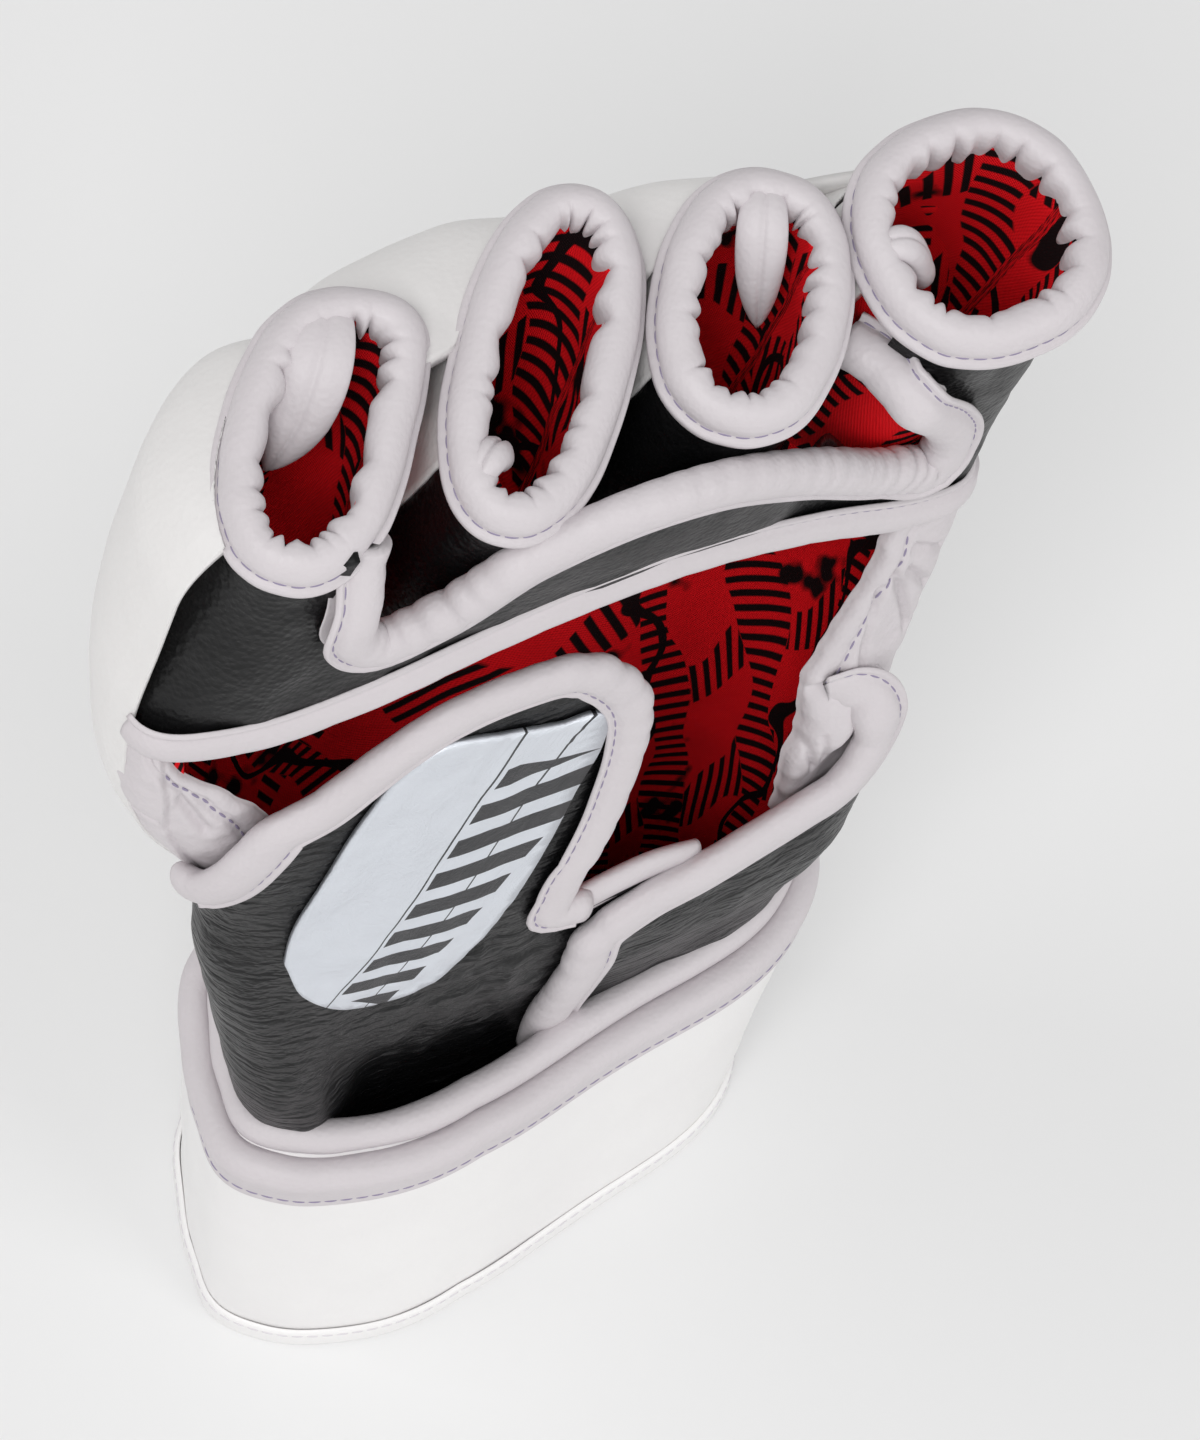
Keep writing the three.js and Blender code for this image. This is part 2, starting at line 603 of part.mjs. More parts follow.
// The group stands with its lower edge on Z = 0 and its plan box centred on the origin.
const boxes = pieces.map((p) => p.made.boundingBox());
const least = [0, 1, 2].map((i) => Math.min(...boxes.map((b) => b.min[i])));
const most = [0, 1, 2].map((i) => Math.max(...boxes.map((b) => b.max[i])));
const glove = new THREE.Group();
glove.name = "glove";
for (const piece of pieces) {
  const shown = piece.made.getMesh();
  const geometry = new THREE.BufferGeometry();
  const position = new Float32Array(shown.numVert * 3);
  for (let i = 0; i < shown.numVert; i += 1)
    for (let j = 0; j < 3; j += 1) position[3 * i + j] = shown.vertProperties[shown.numProp * i + j];
  geometry.setAttribute("position", new THREE.BufferAttribute(position, 3));
  geometry.setIndex(new THREE.BufferAttribute(new Uint32Array(shown.triVerts), 1));
  geometry.translate(-(least[0] + most[0]) / 2, -(least[1] + most[1]) / 2, -least[2]);
  geometry.computeVertexNormals();
  const material = new THREE.MeshStandardMaterial({ color: piece.colour, roughness: 0.7 });
  const mesh = new THREE.Mesh(geometry, material);
  mesh.name = piece.name;
  glove.add(mesh);
}
export default glove;
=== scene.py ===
import math

import bmesh
import bpy
import numpy as np
from mathutils import Matrix, Vector, noise
from mathutils.geometry import delaunay_2d_cdt


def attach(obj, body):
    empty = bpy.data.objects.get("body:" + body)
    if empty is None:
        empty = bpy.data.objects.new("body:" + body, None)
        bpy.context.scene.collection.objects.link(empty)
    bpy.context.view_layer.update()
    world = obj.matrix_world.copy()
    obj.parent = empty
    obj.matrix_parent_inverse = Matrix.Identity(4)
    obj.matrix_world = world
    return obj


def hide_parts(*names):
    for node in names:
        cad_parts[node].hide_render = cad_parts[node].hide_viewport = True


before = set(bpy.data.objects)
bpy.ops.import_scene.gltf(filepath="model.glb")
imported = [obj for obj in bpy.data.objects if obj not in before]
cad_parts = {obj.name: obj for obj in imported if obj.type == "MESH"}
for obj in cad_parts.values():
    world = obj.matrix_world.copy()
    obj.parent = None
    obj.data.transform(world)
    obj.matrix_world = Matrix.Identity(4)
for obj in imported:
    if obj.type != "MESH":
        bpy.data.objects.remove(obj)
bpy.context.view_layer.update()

scene = bpy.context.scene


# Studio: a pale seamless floor and soft lights, with the camera looking down at the palm side
# of the glove. Places here are in millimetres from the middle of the wrist strap.
HOME = np.array([6.8813, 10.9168, 0.0])


def to_frame(points):
    return (np.asarray(points, float) - HOME) / 1000.0


def from_srgb(code):
    values = [int(code[i : i + 2], 16) / 255.0 for i in (1, 3, 5)]
    return [v / 12.92 if v <= 0.04045 else ((v + 0.055) / 1.055) ** 2.4 for v in values] + [1.0]


def new_material(name):
    """A new material and the node that sets its surface."""
    made = bpy.data.materials.new(name)
    made.use_nodes = True
    return made, made.node_tree.nodes["Principled BSDF"]


def add_node(material, kind, settings=None, links=None):
    node = material.node_tree.nodes.new(kind)
    for key, value in (settings or {}).items():
        if hasattr(node, str(key)) and not isinstance(key, int):
            setattr(node, key, value)
        else:
            node.inputs[key].default_value = value
    for key, source in (links or {}).items():
        material.node_tree.links.new(source, node.inputs[key])
    return node


CAMERA_TURN = math.radians(-36.0)
CAMERA_LIFT = math.radians(63.0)
CAMERA_ROLL = math.radians(11.0)
CAMERA_REACH = 750.0
FOCAL_PIXELS = 5925.0
AIM = np.array([0.0, 0.0, 57.0])
AIM_PIXEL = (515.0, 985.0)
PICTURE_WIDE = 1200.0
PICTURE_HIGH = 1440.0
SENSOR = 36.0

back = np.array([
    math.sin(CAMERA_TURN) * math.cos(CAMERA_LIFT),
    -math.cos(CAMERA_TURN) * math.cos(CAMERA_LIFT),
    math.sin(CAMERA_LIFT),
])
level = np.array([math.cos(CAMERA_TURN), math.sin(CAMERA_TURN), 0.0])
rise = np.cross(back, level)
right = math.cos(CAMERA_ROLL) * level + math.sin(CAMERA_ROLL) * rise
upward = -math.sin(CAMERA_ROLL) * level + math.cos(CAMERA_ROLL) * rise
ray = (
    -back
    + (AIM_PIXEL[0] - PICTURE_WIDE / 2) / FOCAL_PIXELS * right
    - (AIM_PIXEL[1] - PICTURE_HIGH / 2) / FOCAL_PIXELS * upward
)
lens = bpy.data.cameras.new("camera")
lens.sensor_fit = "VERTICAL"
lens.sensor_height = SENSOR
lens.lens = FOCAL_PIXELS / PICTURE_HIGH * SENSOR
lens.clip_start = 0.01
camera = bpy.data.objects.new("camera", lens)
scene.collection.objects.link(camera)
turn = Matrix((
    (right[0], upward[0], back[0]),
    (right[1], upward[1], back[1]),
    (right[2], upward[2], back[2]),
))
camera.matrix_world = Matrix.Translation(Vector(to_frame(AIM - ray * CAMERA_REACH))) @ turn.to_4x4()
scene.camera = camera

paper, matt = new_material("seamless background paper")
matt.inputs["Base Color"].default_value = from_srgb("#ececec")
matt.inputs["Roughness"].default_value = 0.9
matt.inputs["Specular IOR Level"].default_value = 0.1
FLOOR = 3.0
sheet = bpy.data.meshes.new("floor")
sheet.from_pydata(
    [(-FLOOR, -FLOOR, 0), (FLOOR, -FLOOR, 0), (FLOOR, FLOOR, 0), (-FLOOR, FLOOR, 0)], [], [(0, 1, 2, 3)]
)
sheet.materials.append(paper)
floor = bpy.data.objects.new("floor", sheet)
scene.collection.objects.link(floor)

world = bpy.data.worlds.new("white studio")
world.use_nodes = True
world.node_tree.nodes["Background"].inputs["Color"].default_value = (1.0, 1.0, 1.0, 1.0)
world.node_tree.nodes["Background"].inputs["Strength"].default_value = 0.56
scene.world = world
scene.view_settings.view_transform = "Standard"


def soft_box(name, place, aim, wide, tall, watts):
    light = bpy.data.lights.new(name, "AREA")
    light.shape = "RECTANGLE"
    light.size = wide
    light.size_y = tall
    light.energy = watts
    box = bpy.data.objects.new(name, light)
    scene.collection.objects.link(box)
    box.location = place
    box.rotation_euler = (Vector(aim) - Vector(place)).to_track_quat("-Z", "Y").to_euler()


soft_box("key", (-0.95, -1.00, 2.10), (0.0, 0.0, 0.08), 1.0, 1.0, 21.0)
soft_box("side", (-1.80, 0.80, 1.60), (0.0, 0.0, 0.08), 1.2, 1.0, 7.0)
soft_box("front", (1.00, -2.00, 1.15), (0.0, 0.0, 0.08), 1.2, 1.2, 12.0)


# Lining: red cotton twill printed with black brush hatching, a millimetre thick, on the inside of
# the back of the hand. Two pleats cross it under the fingers, each held by a row of stitches.
HAND = np.array([
    [0, -1, 27.5, 1, 3, 17],
    [57, 0.2, 30.9, 0.5, 2.4, 17.5],
    [80, 0.5, 36, 0.5, 3.5, 18],
    [105, 1, 41.5, 3, 4.5, 20],
    [130, 1, 48, 7, 5, 21],
    [155, 3.5, 51.5, 9, 5, 20],
    [172, 8, 52, 10, 8, 19],
    [190, 12, 51.5, 11, 11, 18],
], float)
HAND_POWER = 2.6


def eased_rows(rows, at):
    """Smooth values between table rows; the first column is the place, the others the values."""
    heights = rows[:, 0]
    at = np.clip(at, heights[0], heights[-1])
    k = np.clip(np.searchsorted(heights, at, side="right") - 1, 0, len(heights) - 2)
    span = (heights[k + 1] - heights[k])[..., None]
    t = ((at - heights[k]) / (heights[k + 1] - heights[k]))[..., None]
    values = rows[:, 1:]
    slopes = np.gradient(values, heights, axis=0)
    return (
        (2 * t**3 - 3 * t**2 + 1) * values[k]
        + (3 * t**2 - 2 * t**3) * values[k + 1]
        + span * ((t**3 - 2 * t**2 + t) * slopes[k] + (t**3 - t**2) * slopes[k + 1])
    )


def same_shape(*values):
    return np.broadcast_arrays(*(np.asarray(value, float) for value in values))


def oval(rows, power, deg, z, out):
    """A place on a rounded tube, by angle and height, `out` millimetres off its surface."""
    deg, z, out = same_shape(deg, z, out)
    cx, a, cy, front, rear = np.moveaxis(eased_rows(rows, z), -1, 0)

    def flat(angle):
        c = np.cos(angle)
        s = np.sin(angle)
        x = cx + a * np.sign(c) * np.abs(c) ** (2 / power)
        y = cy + np.where(s > 0, rear, front) * np.sign(s) * np.abs(s) ** (2 / power)
        return x, y

    angle = np.radians(deg)
    x, y = flat(angle)
    x0, y0 = flat(angle - 0.02)
    x1, y1 = flat(angle + 0.02)
    length = np.hypot(x1 - x0, y1 - y0)
    return np.stack([x + (y1 - y0) / length * out, y - (x1 - x0) / length * out, z + 0 * x], -1)


def hand(deg, z, out):
    """The hand form, drawn in below the little finger and a little fuller above the strap."""
    deg, z, out = same_shape(deg, z, out)
    drawn = 4.6 * bell(z, 117.0, 13.0) * bell(deg, 180.0, 28.0)
    drawn = drawn - 3.6 * bell(z, 62.0, 18.0) * bell(deg, 192.0, 24.0)
    drawn = drawn + 2.6 * ease((84.0 - z) / 28.0) * ease((deg - 205.0) / 25.0) * ease((374.0 - deg) / 8.0)
    return oval(HAND, HAND_POWER, deg, z, out - drawn)


def palm_angle(x, z, out):
    """The angle on the palm side at which the hand form reaches a given x."""
    x, z, out = same_shape(x, z, out)
    low = np.full(x.shape, 180.0)
    high = np.full(x.shape, 360.0)
    for _ in range(26):
        middle = (low + high) / 2
        left = hand(middle, z, out)[..., 0] < x
        low = np.where(left, middle, low)
        high = np.where(left, high, middle)
    return low


def palm(x, z, out):
    return hand(palm_angle(x, z, out), z, out)


def ease(t):
    t = np.clip(t, 0.0, 1.0)
    return t * t * (3 - 2 * t)


def bell(x, at, spread):
    return np.exp(-(((x - at) / spread) ** 2))


def rumple(points, size, seed=0.0):
    """Smooth noise of about the given size in millimetres, between -1 and 1."""
    flat = np.asarray(points, float).reshape(-1, 3) / size + seed
    values = [noise.noise(Vector(p)) for p in flat]
    return np.array(values).reshape(np.asarray(points).shape[:-1])


def new_piece(name, points, faces, material, uv=None):
    mesh = bpy.data.meshes.new(name)
    mesh.from_pydata(to_frame(points).tolist(), [], faces)
    if uv is not None:
        layer = mesh.uv_layers.new(name="flat")
        order = np.empty(len(mesh.loops), int)
        mesh.loops.foreach_get("vertex_index", order)
        layer.data.foreach_set("uv", np.asarray(uv, float)[order].ravel())
    work = bmesh.new()
    work.from_mesh(mesh)
    bmesh.ops.recalc_face_normals(work, faces=work.faces)
    work.to_mesh(mesh)
    work.free()
    mesh.polygons.foreach_set("use_smooth", [True] * len(mesh.polygons))
    mesh.materials.append(material)
    piece = bpy.data.objects.new(name, mesh)
    scene.collection.objects.link(piece)
    return piece


def two_sided(outer, inner, round_trip=False):
    """A closed skin from two grids of points, joined round their edges."""
    rows, columns = outer.shape[:2]
    points = np.concatenate([outer.reshape(-1, 3), inner.reshape(-1, 3)])
    near = rows * columns

    def spot(side, j, i):
        return side * near + j * columns + i % columns

    faces = []
    steps = columns if round_trip else columns - 1
    last = rows - 1
    for j in range(rows - 1):
        for i in range(steps):
            faces.append((spot(0, j, i), spot(0, j, i + 1), spot(0, j + 1, i + 1), spot(0, j + 1, i)))
            faces.append((spot(1, j, i), spot(1, j + 1, i), spot(1, j + 1, i + 1), spot(1, j, i + 1)))
    for i in range(steps):
        faces.append((spot(0, 0, i), spot(1, 0, i), spot(1, 0, i + 1), spot(0, 0, i + 1)))
        faces.append((spot(0, last, i), spot(0, last, i + 1), spot(1, last, i + 1), spot(1, last, i)))
    if not round_trip:
        for j in range(rows - 1):
            faces.append((spot(0, j, 0), spot(0, j + 1, 0), spot(1, j + 1, 0), spot(1, j, 0)))
            end = columns - 1
            faces.append((spot(0, j, end), spot(1, j, end), spot(1, j + 1, end), spot(0, j + 1, end)))
    return points, faces


# Woven cotton twill: matt, with fine raised threads and worn black print.
twill, cloth = new_material("printed cotton twill")
flat_map = add_node(twill, "ShaderNodeUVMap", {"uv_map": "flat"})


def combine(material, operation, *values):
    """An arithmetic node; each value is a number or another node's output."""
    node = add_node(material, "ShaderNodeMath", {"operation": operation})
    for place, value in enumerate(values):
        if isinstance(value, (int, float)):
            node.inputs[place].default_value = value
        else:
            material.node_tree.links.new(value, node.inputs[place])
    return node.outputs[0]


def stripes(turn_degrees, spacing, share, bend, seed):
    """Soft-edged bars across the cloth: 1 on a bar and 0 between bars."""
    turned = add_node(
        twill, "ShaderNodeMapping",
        {"Rotation": (0, 0, math.radians(turn_degrees)), "Location": (seed, seed, 0)},
        {0: flat_map.outputs[0]}
    )
    wave = add_node(
        twill, "ShaderNodeTexNoise", {"Scale": 0.045, "Detail": 1.0}, {"Vector": turned.outputs[0]}
    )
    parts = add_node(twill, "ShaderNodeSeparateXYZ", None, {0: turned.outputs[0]})
    moved = combine(twill, "MULTIPLY_ADD", wave.outputs[0], bend, parts.outputs[0])
    step = combine(twill, "PINGPONG", moved, spacing / 2)
    edge = add_node(
        twill, "ShaderNodeMapRange",
        {1: spacing / 2 * share, 2: spacing / 2 * share - 0.25, 3: 0.0, 4: 1.0}, {0: step}
    )
    return edge.outputs[0]


zone_one = stripes(24, 21.0, 0.40, 20.0, 11.0)
bars_one = combine(twill, "MULTIPLY", zone_one, stripes(98, 2.4, 0.60, 2.0, 3.0))
zone_two = combine(twill, "SUBTRACT", stripes(-52, 24.0, 0.36, 24.0, 40.0), zone_one)
bars_two = combine(twill, "MULTIPLY", zone_two, stripes(28, 2.7, 0.58, 3.0, 5.0))
strokes = stripes(8, 41.0, 0.07, 60.0, 17.0)
patches = add_node(
    twill, "ShaderNodeTexNoise", {"Scale": 0.05, "Detail": 3.0, "Roughness": 0.6},
    {"Vector": flat_map.outputs[0]}
)
blots = add_node(twill, "ShaderNodeMapRange", {1: 0.60, 2: 0.64}, {0: patches.outputs[0]})
print_mask = combine(twill, "MAXIMUM", bars_one, bars_two)
print_mask = combine(twill, "MAXIMUM", print_mask, strokes)
print_mask = combine(twill, "MAXIMUM", print_mask, blots.outputs[0])
thread_map = add_node(
    twill, "ShaderNodeMapping", {"Rotation": (0, 0, math.radians(63))}, {0: flat_map.outputs[0]}
)
thread = add_node(
    twill, "ShaderNodeTexWave",
    {"wave_type": "BANDS", "Scale": 1.15, "Distortion": 0.35, "Detail": 1.0},
    {"Vector": thread_map.outputs[0]}
)
cross_map = add_node(
    twill, "ShaderNodeMapping", {"Rotation": (0, 0, math.radians(-27))}, {0: flat_map.outputs[0]}
)
cross = add_node(
    twill, "ShaderNodeTexWave", {"wave_type": "BANDS", "Scale": 0.75, "Distortion": 0.5, "Detail": 1.0},
    {"Vector": cross_map.outputs[0]}
)
weave = combine(twill, "MULTIPLY_ADD", cross.outputs[1], 0.6, thread.outputs[1])
tone = add_node(
    twill, "ShaderNodeMix", {"data_type": "RGBA", 6: from_srgb("#c8050f"), 7: from_srgb("#f71822")},
    {0: weave}
)
inked = add_node(
    twill, "ShaderNodeMix", {"data_type": "RGBA", 7: from_srgb("#160a0c")},
    {0: print_mask, 6: tone.outputs[2]}
)
raised = add_node(twill, "ShaderNodeBump", {"Strength": 0.55, "Distance": 0.00025}, {"Height": weave})
twill.node_tree.links.new(inked.outputs[2], cloth.inputs["Base Color"])
twill.node_tree.links.new(raised.outputs[0], cloth.inputs["Normal"])
cloth.inputs["Roughness"].default_value = 0.9
cloth.inputs["Specular IOR Level"].default_value = 0.12

BACK_LITTLE = 202.0
BACK_THUMB = -9.0
LINING = 1.2
LINING_LOW = 8.0
LINING_HIGH = 177.0
PLEATS = ((139.0, 0.010), (126.5, 0.014))


def back_reach(deg, z, short=0.0):
    """Draws the two side edges in: above the palm band, and by `short` degrees below it."""
    start = BACK_THUMB + 15.0 * ease((z - 133.0) / 8.0)
    end = BACK_LITTLE - np.maximum(36.0 * ease((z - 148.0) / 8.0), short * ease((z - 112.0) / 6.0))
    return start + (end - start) * (deg - BACK_THUMB) / (BACK_LITTLE - BACK_THUMB)


degs = np.linspace(BACK_THUMB, BACK_LITTLE, 150)
heights = np.linspace(LINING_LOW, LINING_HIGH, 130)
deg_grid, z_grid = np.meshgrid(degs, heights)
deg_grid = back_reach(deg_grid, z_grid)
pleat = np.zeros_like(z_grid)
for seam, lean in PLEATS:
    away = z_grid - (seam - lean * (deg_grid - 90.0))
    pleat += 1.5 * bell(away, 3.4, 2.6) - 1.0 * bell(away, 0.0, 1.0)
sag = 0.9 * rumple(hand(deg_grid, z_grid, 0), 16.0) + 0.35 * rumple(hand(deg_grid, z_grid, 0), 6.0, 9.0)
inside = hand(deg_grid, z_grid, np.minimum(-0.2 - np.maximum(pleat, 0) - sag, 0.6))
outside = hand(deg_grid, z_grid, LINING)
points, faces = two_sided(outside, inside)
flat_uv = np.stack([deg_grid * 0.75, z_grid], -1).reshape(-1, 2)
lining = new_piece("lining_cloth", points, faces, twill, np.concatenate([flat_uv, flat_uv]))
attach(lining, "root")
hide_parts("lining")
around = float(np.linalg.norm(np.diff(hand(degs, 120.0, 0), axis=0), axis=1).sum()) / 1000.0


# Back of the hand: one cut of white cowhide over the lining, from the wrist to behind the fingers.
# It is glued down, so it follows the hand closely and shows only its grain and a few soft folds.
def leather(name, light, dark, grain_mm, bump, rough, crease_mm=6.0, crease=0.25, pull=None, specular=0.5):
    """A grained hide: pebbles, finer pores and soft creases; `pull` adds drawn wrinkles at an angle."""
    hide, skin = new_material(name)
    where = add_node(hide, "ShaderNodeTexCoord")
    pebble = add_node(
        hide, "ShaderNodeTexVoronoi",
        {"feature": "SMOOTH_F1", "Scale": 1000.0 / grain_mm, "Smoothness": 0.6, "Randomness": 1.0},
        {"Vector": where.outputs[3]}
    )
    pore = add_node(
        hide, "ShaderNodeTexNoise", {"Scale": 2600.0 / grain_mm, "Detail": 3.0, "Roughness": 0.6},
        {"Vector": where.outputs[3]}
    )
    fold = add_node(
        hide, "ShaderNodeTexNoise",
        {"Scale": 1000.0 / crease_mm, "Detail": 4.0, "Roughness": 0.55, "Distortion": 0.8},
        {"Vector": where.outputs[3]}
    )
    relief = combine(hide, "MULTIPLY_ADD", pore.outputs[0], 0.35, pebble.outputs[0])
    relief = combine(hide, "MULTIPLY_ADD", fold.outputs[0], crease * 4, relief)
    raised = add_node(hide, "ShaderNodeBump", {"Strength": bump, "Distance": 0.0002}, {"Height": relief})
    if pull:
        angle, pitch, depth = pull
        spread = add_node(hide, "ShaderNodeUVMap", {"uv_map": "flat"})
        grown = add_node(
            hide, "ShaderNodeMapping",
            {"Rotation": (0, 0, math.radians(angle)), "Scale": (0.16 / pitch, 1 / pitch, 1)},
            {0: spread.outputs[0]}
        )
        drawn = add_node(
            hide, "ShaderNodeTexNoise", {"Scale": 1.0, "Detail": 2.0, "Distortion": 0.5},
            {"Vector": grown.outputs[0]}
        )
        raised = add_node(
            hide, "ShaderNodeBump", {"Strength": 0.8, "Distance": depth / 1000},
            {"Height": drawn.outputs[0], "Normal": raised.outputs[0]}
        )
    cloudy = add_node(
        hide, "ShaderNodeTexNoise", {"Scale": 60.0, "Detail": 3.0}, {"Vector": where.outputs[3]}
    )
    tone = add_node(
        hide, "ShaderNodeMix", {"data_type": "RGBA", 6: from_srgb(dark), 7: from_srgb(light)},
        {0: cloudy.outputs[0]}
    )
    polish = add_node(
        hide, "ShaderNodeMapRange", {1: 0.2, 2: 0.8, 3: rough - 0.08, 4: rough + 0.10},
        {0: fold.outputs[0]}
    )
    hide.node_tree.links.new(tone.outputs[2], skin.inputs["Base Color"])
    hide.node_tree.links.new(polish.outputs[0], skin.inputs["Roughness"])
    hide.node_tree.links.new(raised.outputs[0], skin.inputs["Normal"])
    skin.inputs["IOR"].default_value = 1.5
    skin.inputs["Specular IOR Level"].default_value = specular
    return hide


# Corrected-grain white cowhide: satin, with a shallow grain of about a millimetre.
white_hide = leather("white corrected-grain cowhide", "#ebe9e8", "#e1dfde", 0.9, 0.3, 0.46, 9.0, 0.2)

SHELL_IN = 1.5
SHELL_OUT = 3.1
BACK_HIGH = 180.0

degs = np.linspace(BACK_THUMB, BACK_LITTLE, 160)
heights = np.linspace(LINING_LOW, BACK_HIGH, 120)
deg_grid, z_grid = np.meshgrid(degs, heights)
deg_grid = back_reach(deg_grid, z_grid, 25.0)
form = hand(deg_grid, z_grid, SHELL_OUT)
outside = hand(deg_grid, z_grid, SHELL_OUT - 0.1 + 0.2 * rumple(form, 18.0, 3.0))
points, faces = two_sided(outside, hand(deg_grid, z_grid, SHELL_IN))
back_shell = new_piece("back_leather", points, faces, white_hide)
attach(back_shell, "root")
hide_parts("back_shell")


# Finger sleeves: short leather tubes, white behind and black in front, each lined with the twill.
# They rise from the fork between the fingers to the bound openings, which tip towards the palm.
FORK = 158.0
RING_HEIGHT = 190.0
RING_TILT = math.radians(12.0)
ROLL = 2.3
SLEEVE_LEATHER = 1.4
SLEEVE_LINING = 1.0
SLEEVE_CLOTH_HIGH = 34.0
FINGERS = {
    "little": dict(foot=(-34, 16.5, 12.6, 13), ring=(-26, 17, 10.3, 17.4, -38), swells=((20, 26, 2.2),)),
    "ring": dict(foot=(-9, 17, 11.9, 13.5), ring=(0.5, 16, 9.9, 21, -38)),
    "middle": dict(foot=(15.5, 17, 12, 13.5), ring=(24.6, 13.5, 11, 16, -36)),
    "index": dict(foot=(43, 16.5, 13.1, 13), ring=(51.6, 11.4, 14.6, 14.6, 0)),
}


def turned(angle, w, h, turn):
    t = np.radians(angle - turn)
    u = w * np.sign(np.cos(t)) * np.abs(np.cos(t)) ** 0.87
    v = h * np.sign(np.sin(t)) * np.abs(np.sin(t)) ** 0.87
    r = math.radians(turn)
    return u * math.cos(r) - v * math.sin(r), u * math.sin(r) + v * math.cos(r)


def ring_point(finger, angle, out):
    x, y, w, h, turn = FINGERS[finger]["ring"]
    for at, spread, swell in FINGERS[finger].get("swells", ()):
        away = (np.asarray(angle, float) - at + 180.0) % 360.0 - 180.0
        out = out + swell * bell(away, 0.0, spread)
    u, v = turned(angle, w + out, h + out, turn)
    return np.stack([x + u, y + v * math.cos(RING_TILT), RING_HEIGHT + v * math.sin(RING_TILT)], -1)


def sleeve(finger, angle, share, out):
    x, y, w, h = FINGERS[finger]["foot"]
    u, v = turned(angle, w + out, h + out, 0)
    foot = np.stack(np.broadcast_arrays(x + u, y + v, FORK + 0 * u), -1)
    top = ring_point(finger, angle, out - ROLL + SLEEVE_LEATHER / 2)
    return foot + (top - foot) * np.asarray(share)[..., None]


# Drum-dyed black cowhide: softer, with a deeper grain and a low gloss.
black_hide = leather(
    "black drum-dyed cowhide", "#111112", "#080809", 0.8, 0.7, 0.40, 5.0, 0.35, specular=0.32
)

for finger in FINGERS:
    for part, start, end, hide, slot in (
        ("back", 0, 180, white_hide, "white_leather"), ("front", 181, 359, black_hide, "black_leather")
    ):
        if part == "front" and finger in ("little", "index"):
            continue
        angles, shares = np.meshgrid(
            np.linspace(start, end, 60), np.linspace(0.0 if part == "back" else -0.12, 1.0, 34)
        )
        form = sleeve(finger, angles, shares, 0.0)
        puff = (
            0.5 * np.sin(np.clip(shares, 0, 1) * math.pi) + 0.45 * rumple(form, 7.0, 21.0)
            + 0.2 * rumple(form, 3.0, 2.0)
        )
        points, faces = two_sided(
            sleeve(finger, angles, shares, puff), sleeve(finger, angles, shares, -SLEEVE_LEATHER)
        )
        tube = new_piece(finger + "_" + part + "_leather", points, faces, hide)
        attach(tube, "root")
        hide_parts(finger + "_" + part)
    skin = -SLEEVE_LEATHER - 0.3
    angles, shares = np.meshgrid(np.arange(0, 360, 5.0), np.linspace(-0.05, 1.0, 34))
    form = sleeve(finger, angles, shares, skin)
    slack = 0.55 * rumple(form, 6.0, 30.0) + 0.35 * rumple(form, 13.0, 5.0)
    points, faces = two_sided(
        form, sleeve(finger, angles, shares, skin - SLEEVE_LINING - np.maximum(slack, -0.5)), True
    )
    flat_uv = np.stack(
        [angles * 0.24 + 50 * len(finger), shares * SLEEVE_CLOTH_HIGH + 7 * len(finger)], -1
    ).reshape(-1, 2)
    tube = new_piece(finger + "_lining_cloth", points, faces, twill, np.concatenate([flat_uv, flat_uv]))
    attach(tube, "root")
    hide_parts(finger + "_lining")
    around = float(np.linalg.norm(np.diff(form[0], axis=0), axis=1).sum()) / 1000.0


# Palm band: black cowhide across the palm side under the fingers, open in a long slot. Its outer
# ends run on up as the fronts of the little and index sleeves.
BAND_EDGE = [
    (-51, 156), (-45, 155.5), (-34, 155), (-22, 157), (-10, 160), (2, 161.5), (15, 160), (28, 155),
    (41, 147.5), (50, 143), (55, 141.5)
]
SLOT_EDGE = [
    (-25.0, 185.5), (-26.8, 181), (-28.6, 175), (-25.5, 170.5), (-19, 172.5), (-8, 181), (3, 183.5),
    (14, 181.5), (27, 173), (40, 159.8), (46.3, 155), (47.3, 159.5), (44.5, 169), (39.3, 177.5),
]
SLOT_TRAIL = [(36.4, 6, 180.5), (34.7, 9, 180.4)]
TURN_MM = 0.7


def spline(rows, spacing):
    rows = np.asarray(rows, float)
    reach = np.concatenate([[0], np.cumsum(np.linalg.norm(np.diff(rows, axis=0), axis=1))])
    table = np.column_stack([reach, rows])
    count = max(int(reach[-1] / spacing), 4)
    return eased_rows(table, np.linspace(0, reach[-1], count + 1))


def palm_flat(line, out):
    """A line on the palm laid out flat: millimetres round the hand, and height."""
    return np.column_stack([palm_angle(line[:, 0], line[:, 1], out) * TURN_MM, line[:, 1]])


def inside_of(outline, spots):
    """Which spots lie within a closed flat outline."""
    hit = np.zeros(len(spots), bool)
    previous = np.roll(outline, 1, axis=0)
    for (x0, y0), (x1, y1) in zip(previous, outline):
        crosses = (y0 > spots[:, 1]) != (y1 > spots[:, 1])
        if y0 != y1:
            hit ^= crosses & (spots[:, 0] < (x1 - x0) * (spots[:, 1] - y0) / (y1 - y0) + x0)
    return hit


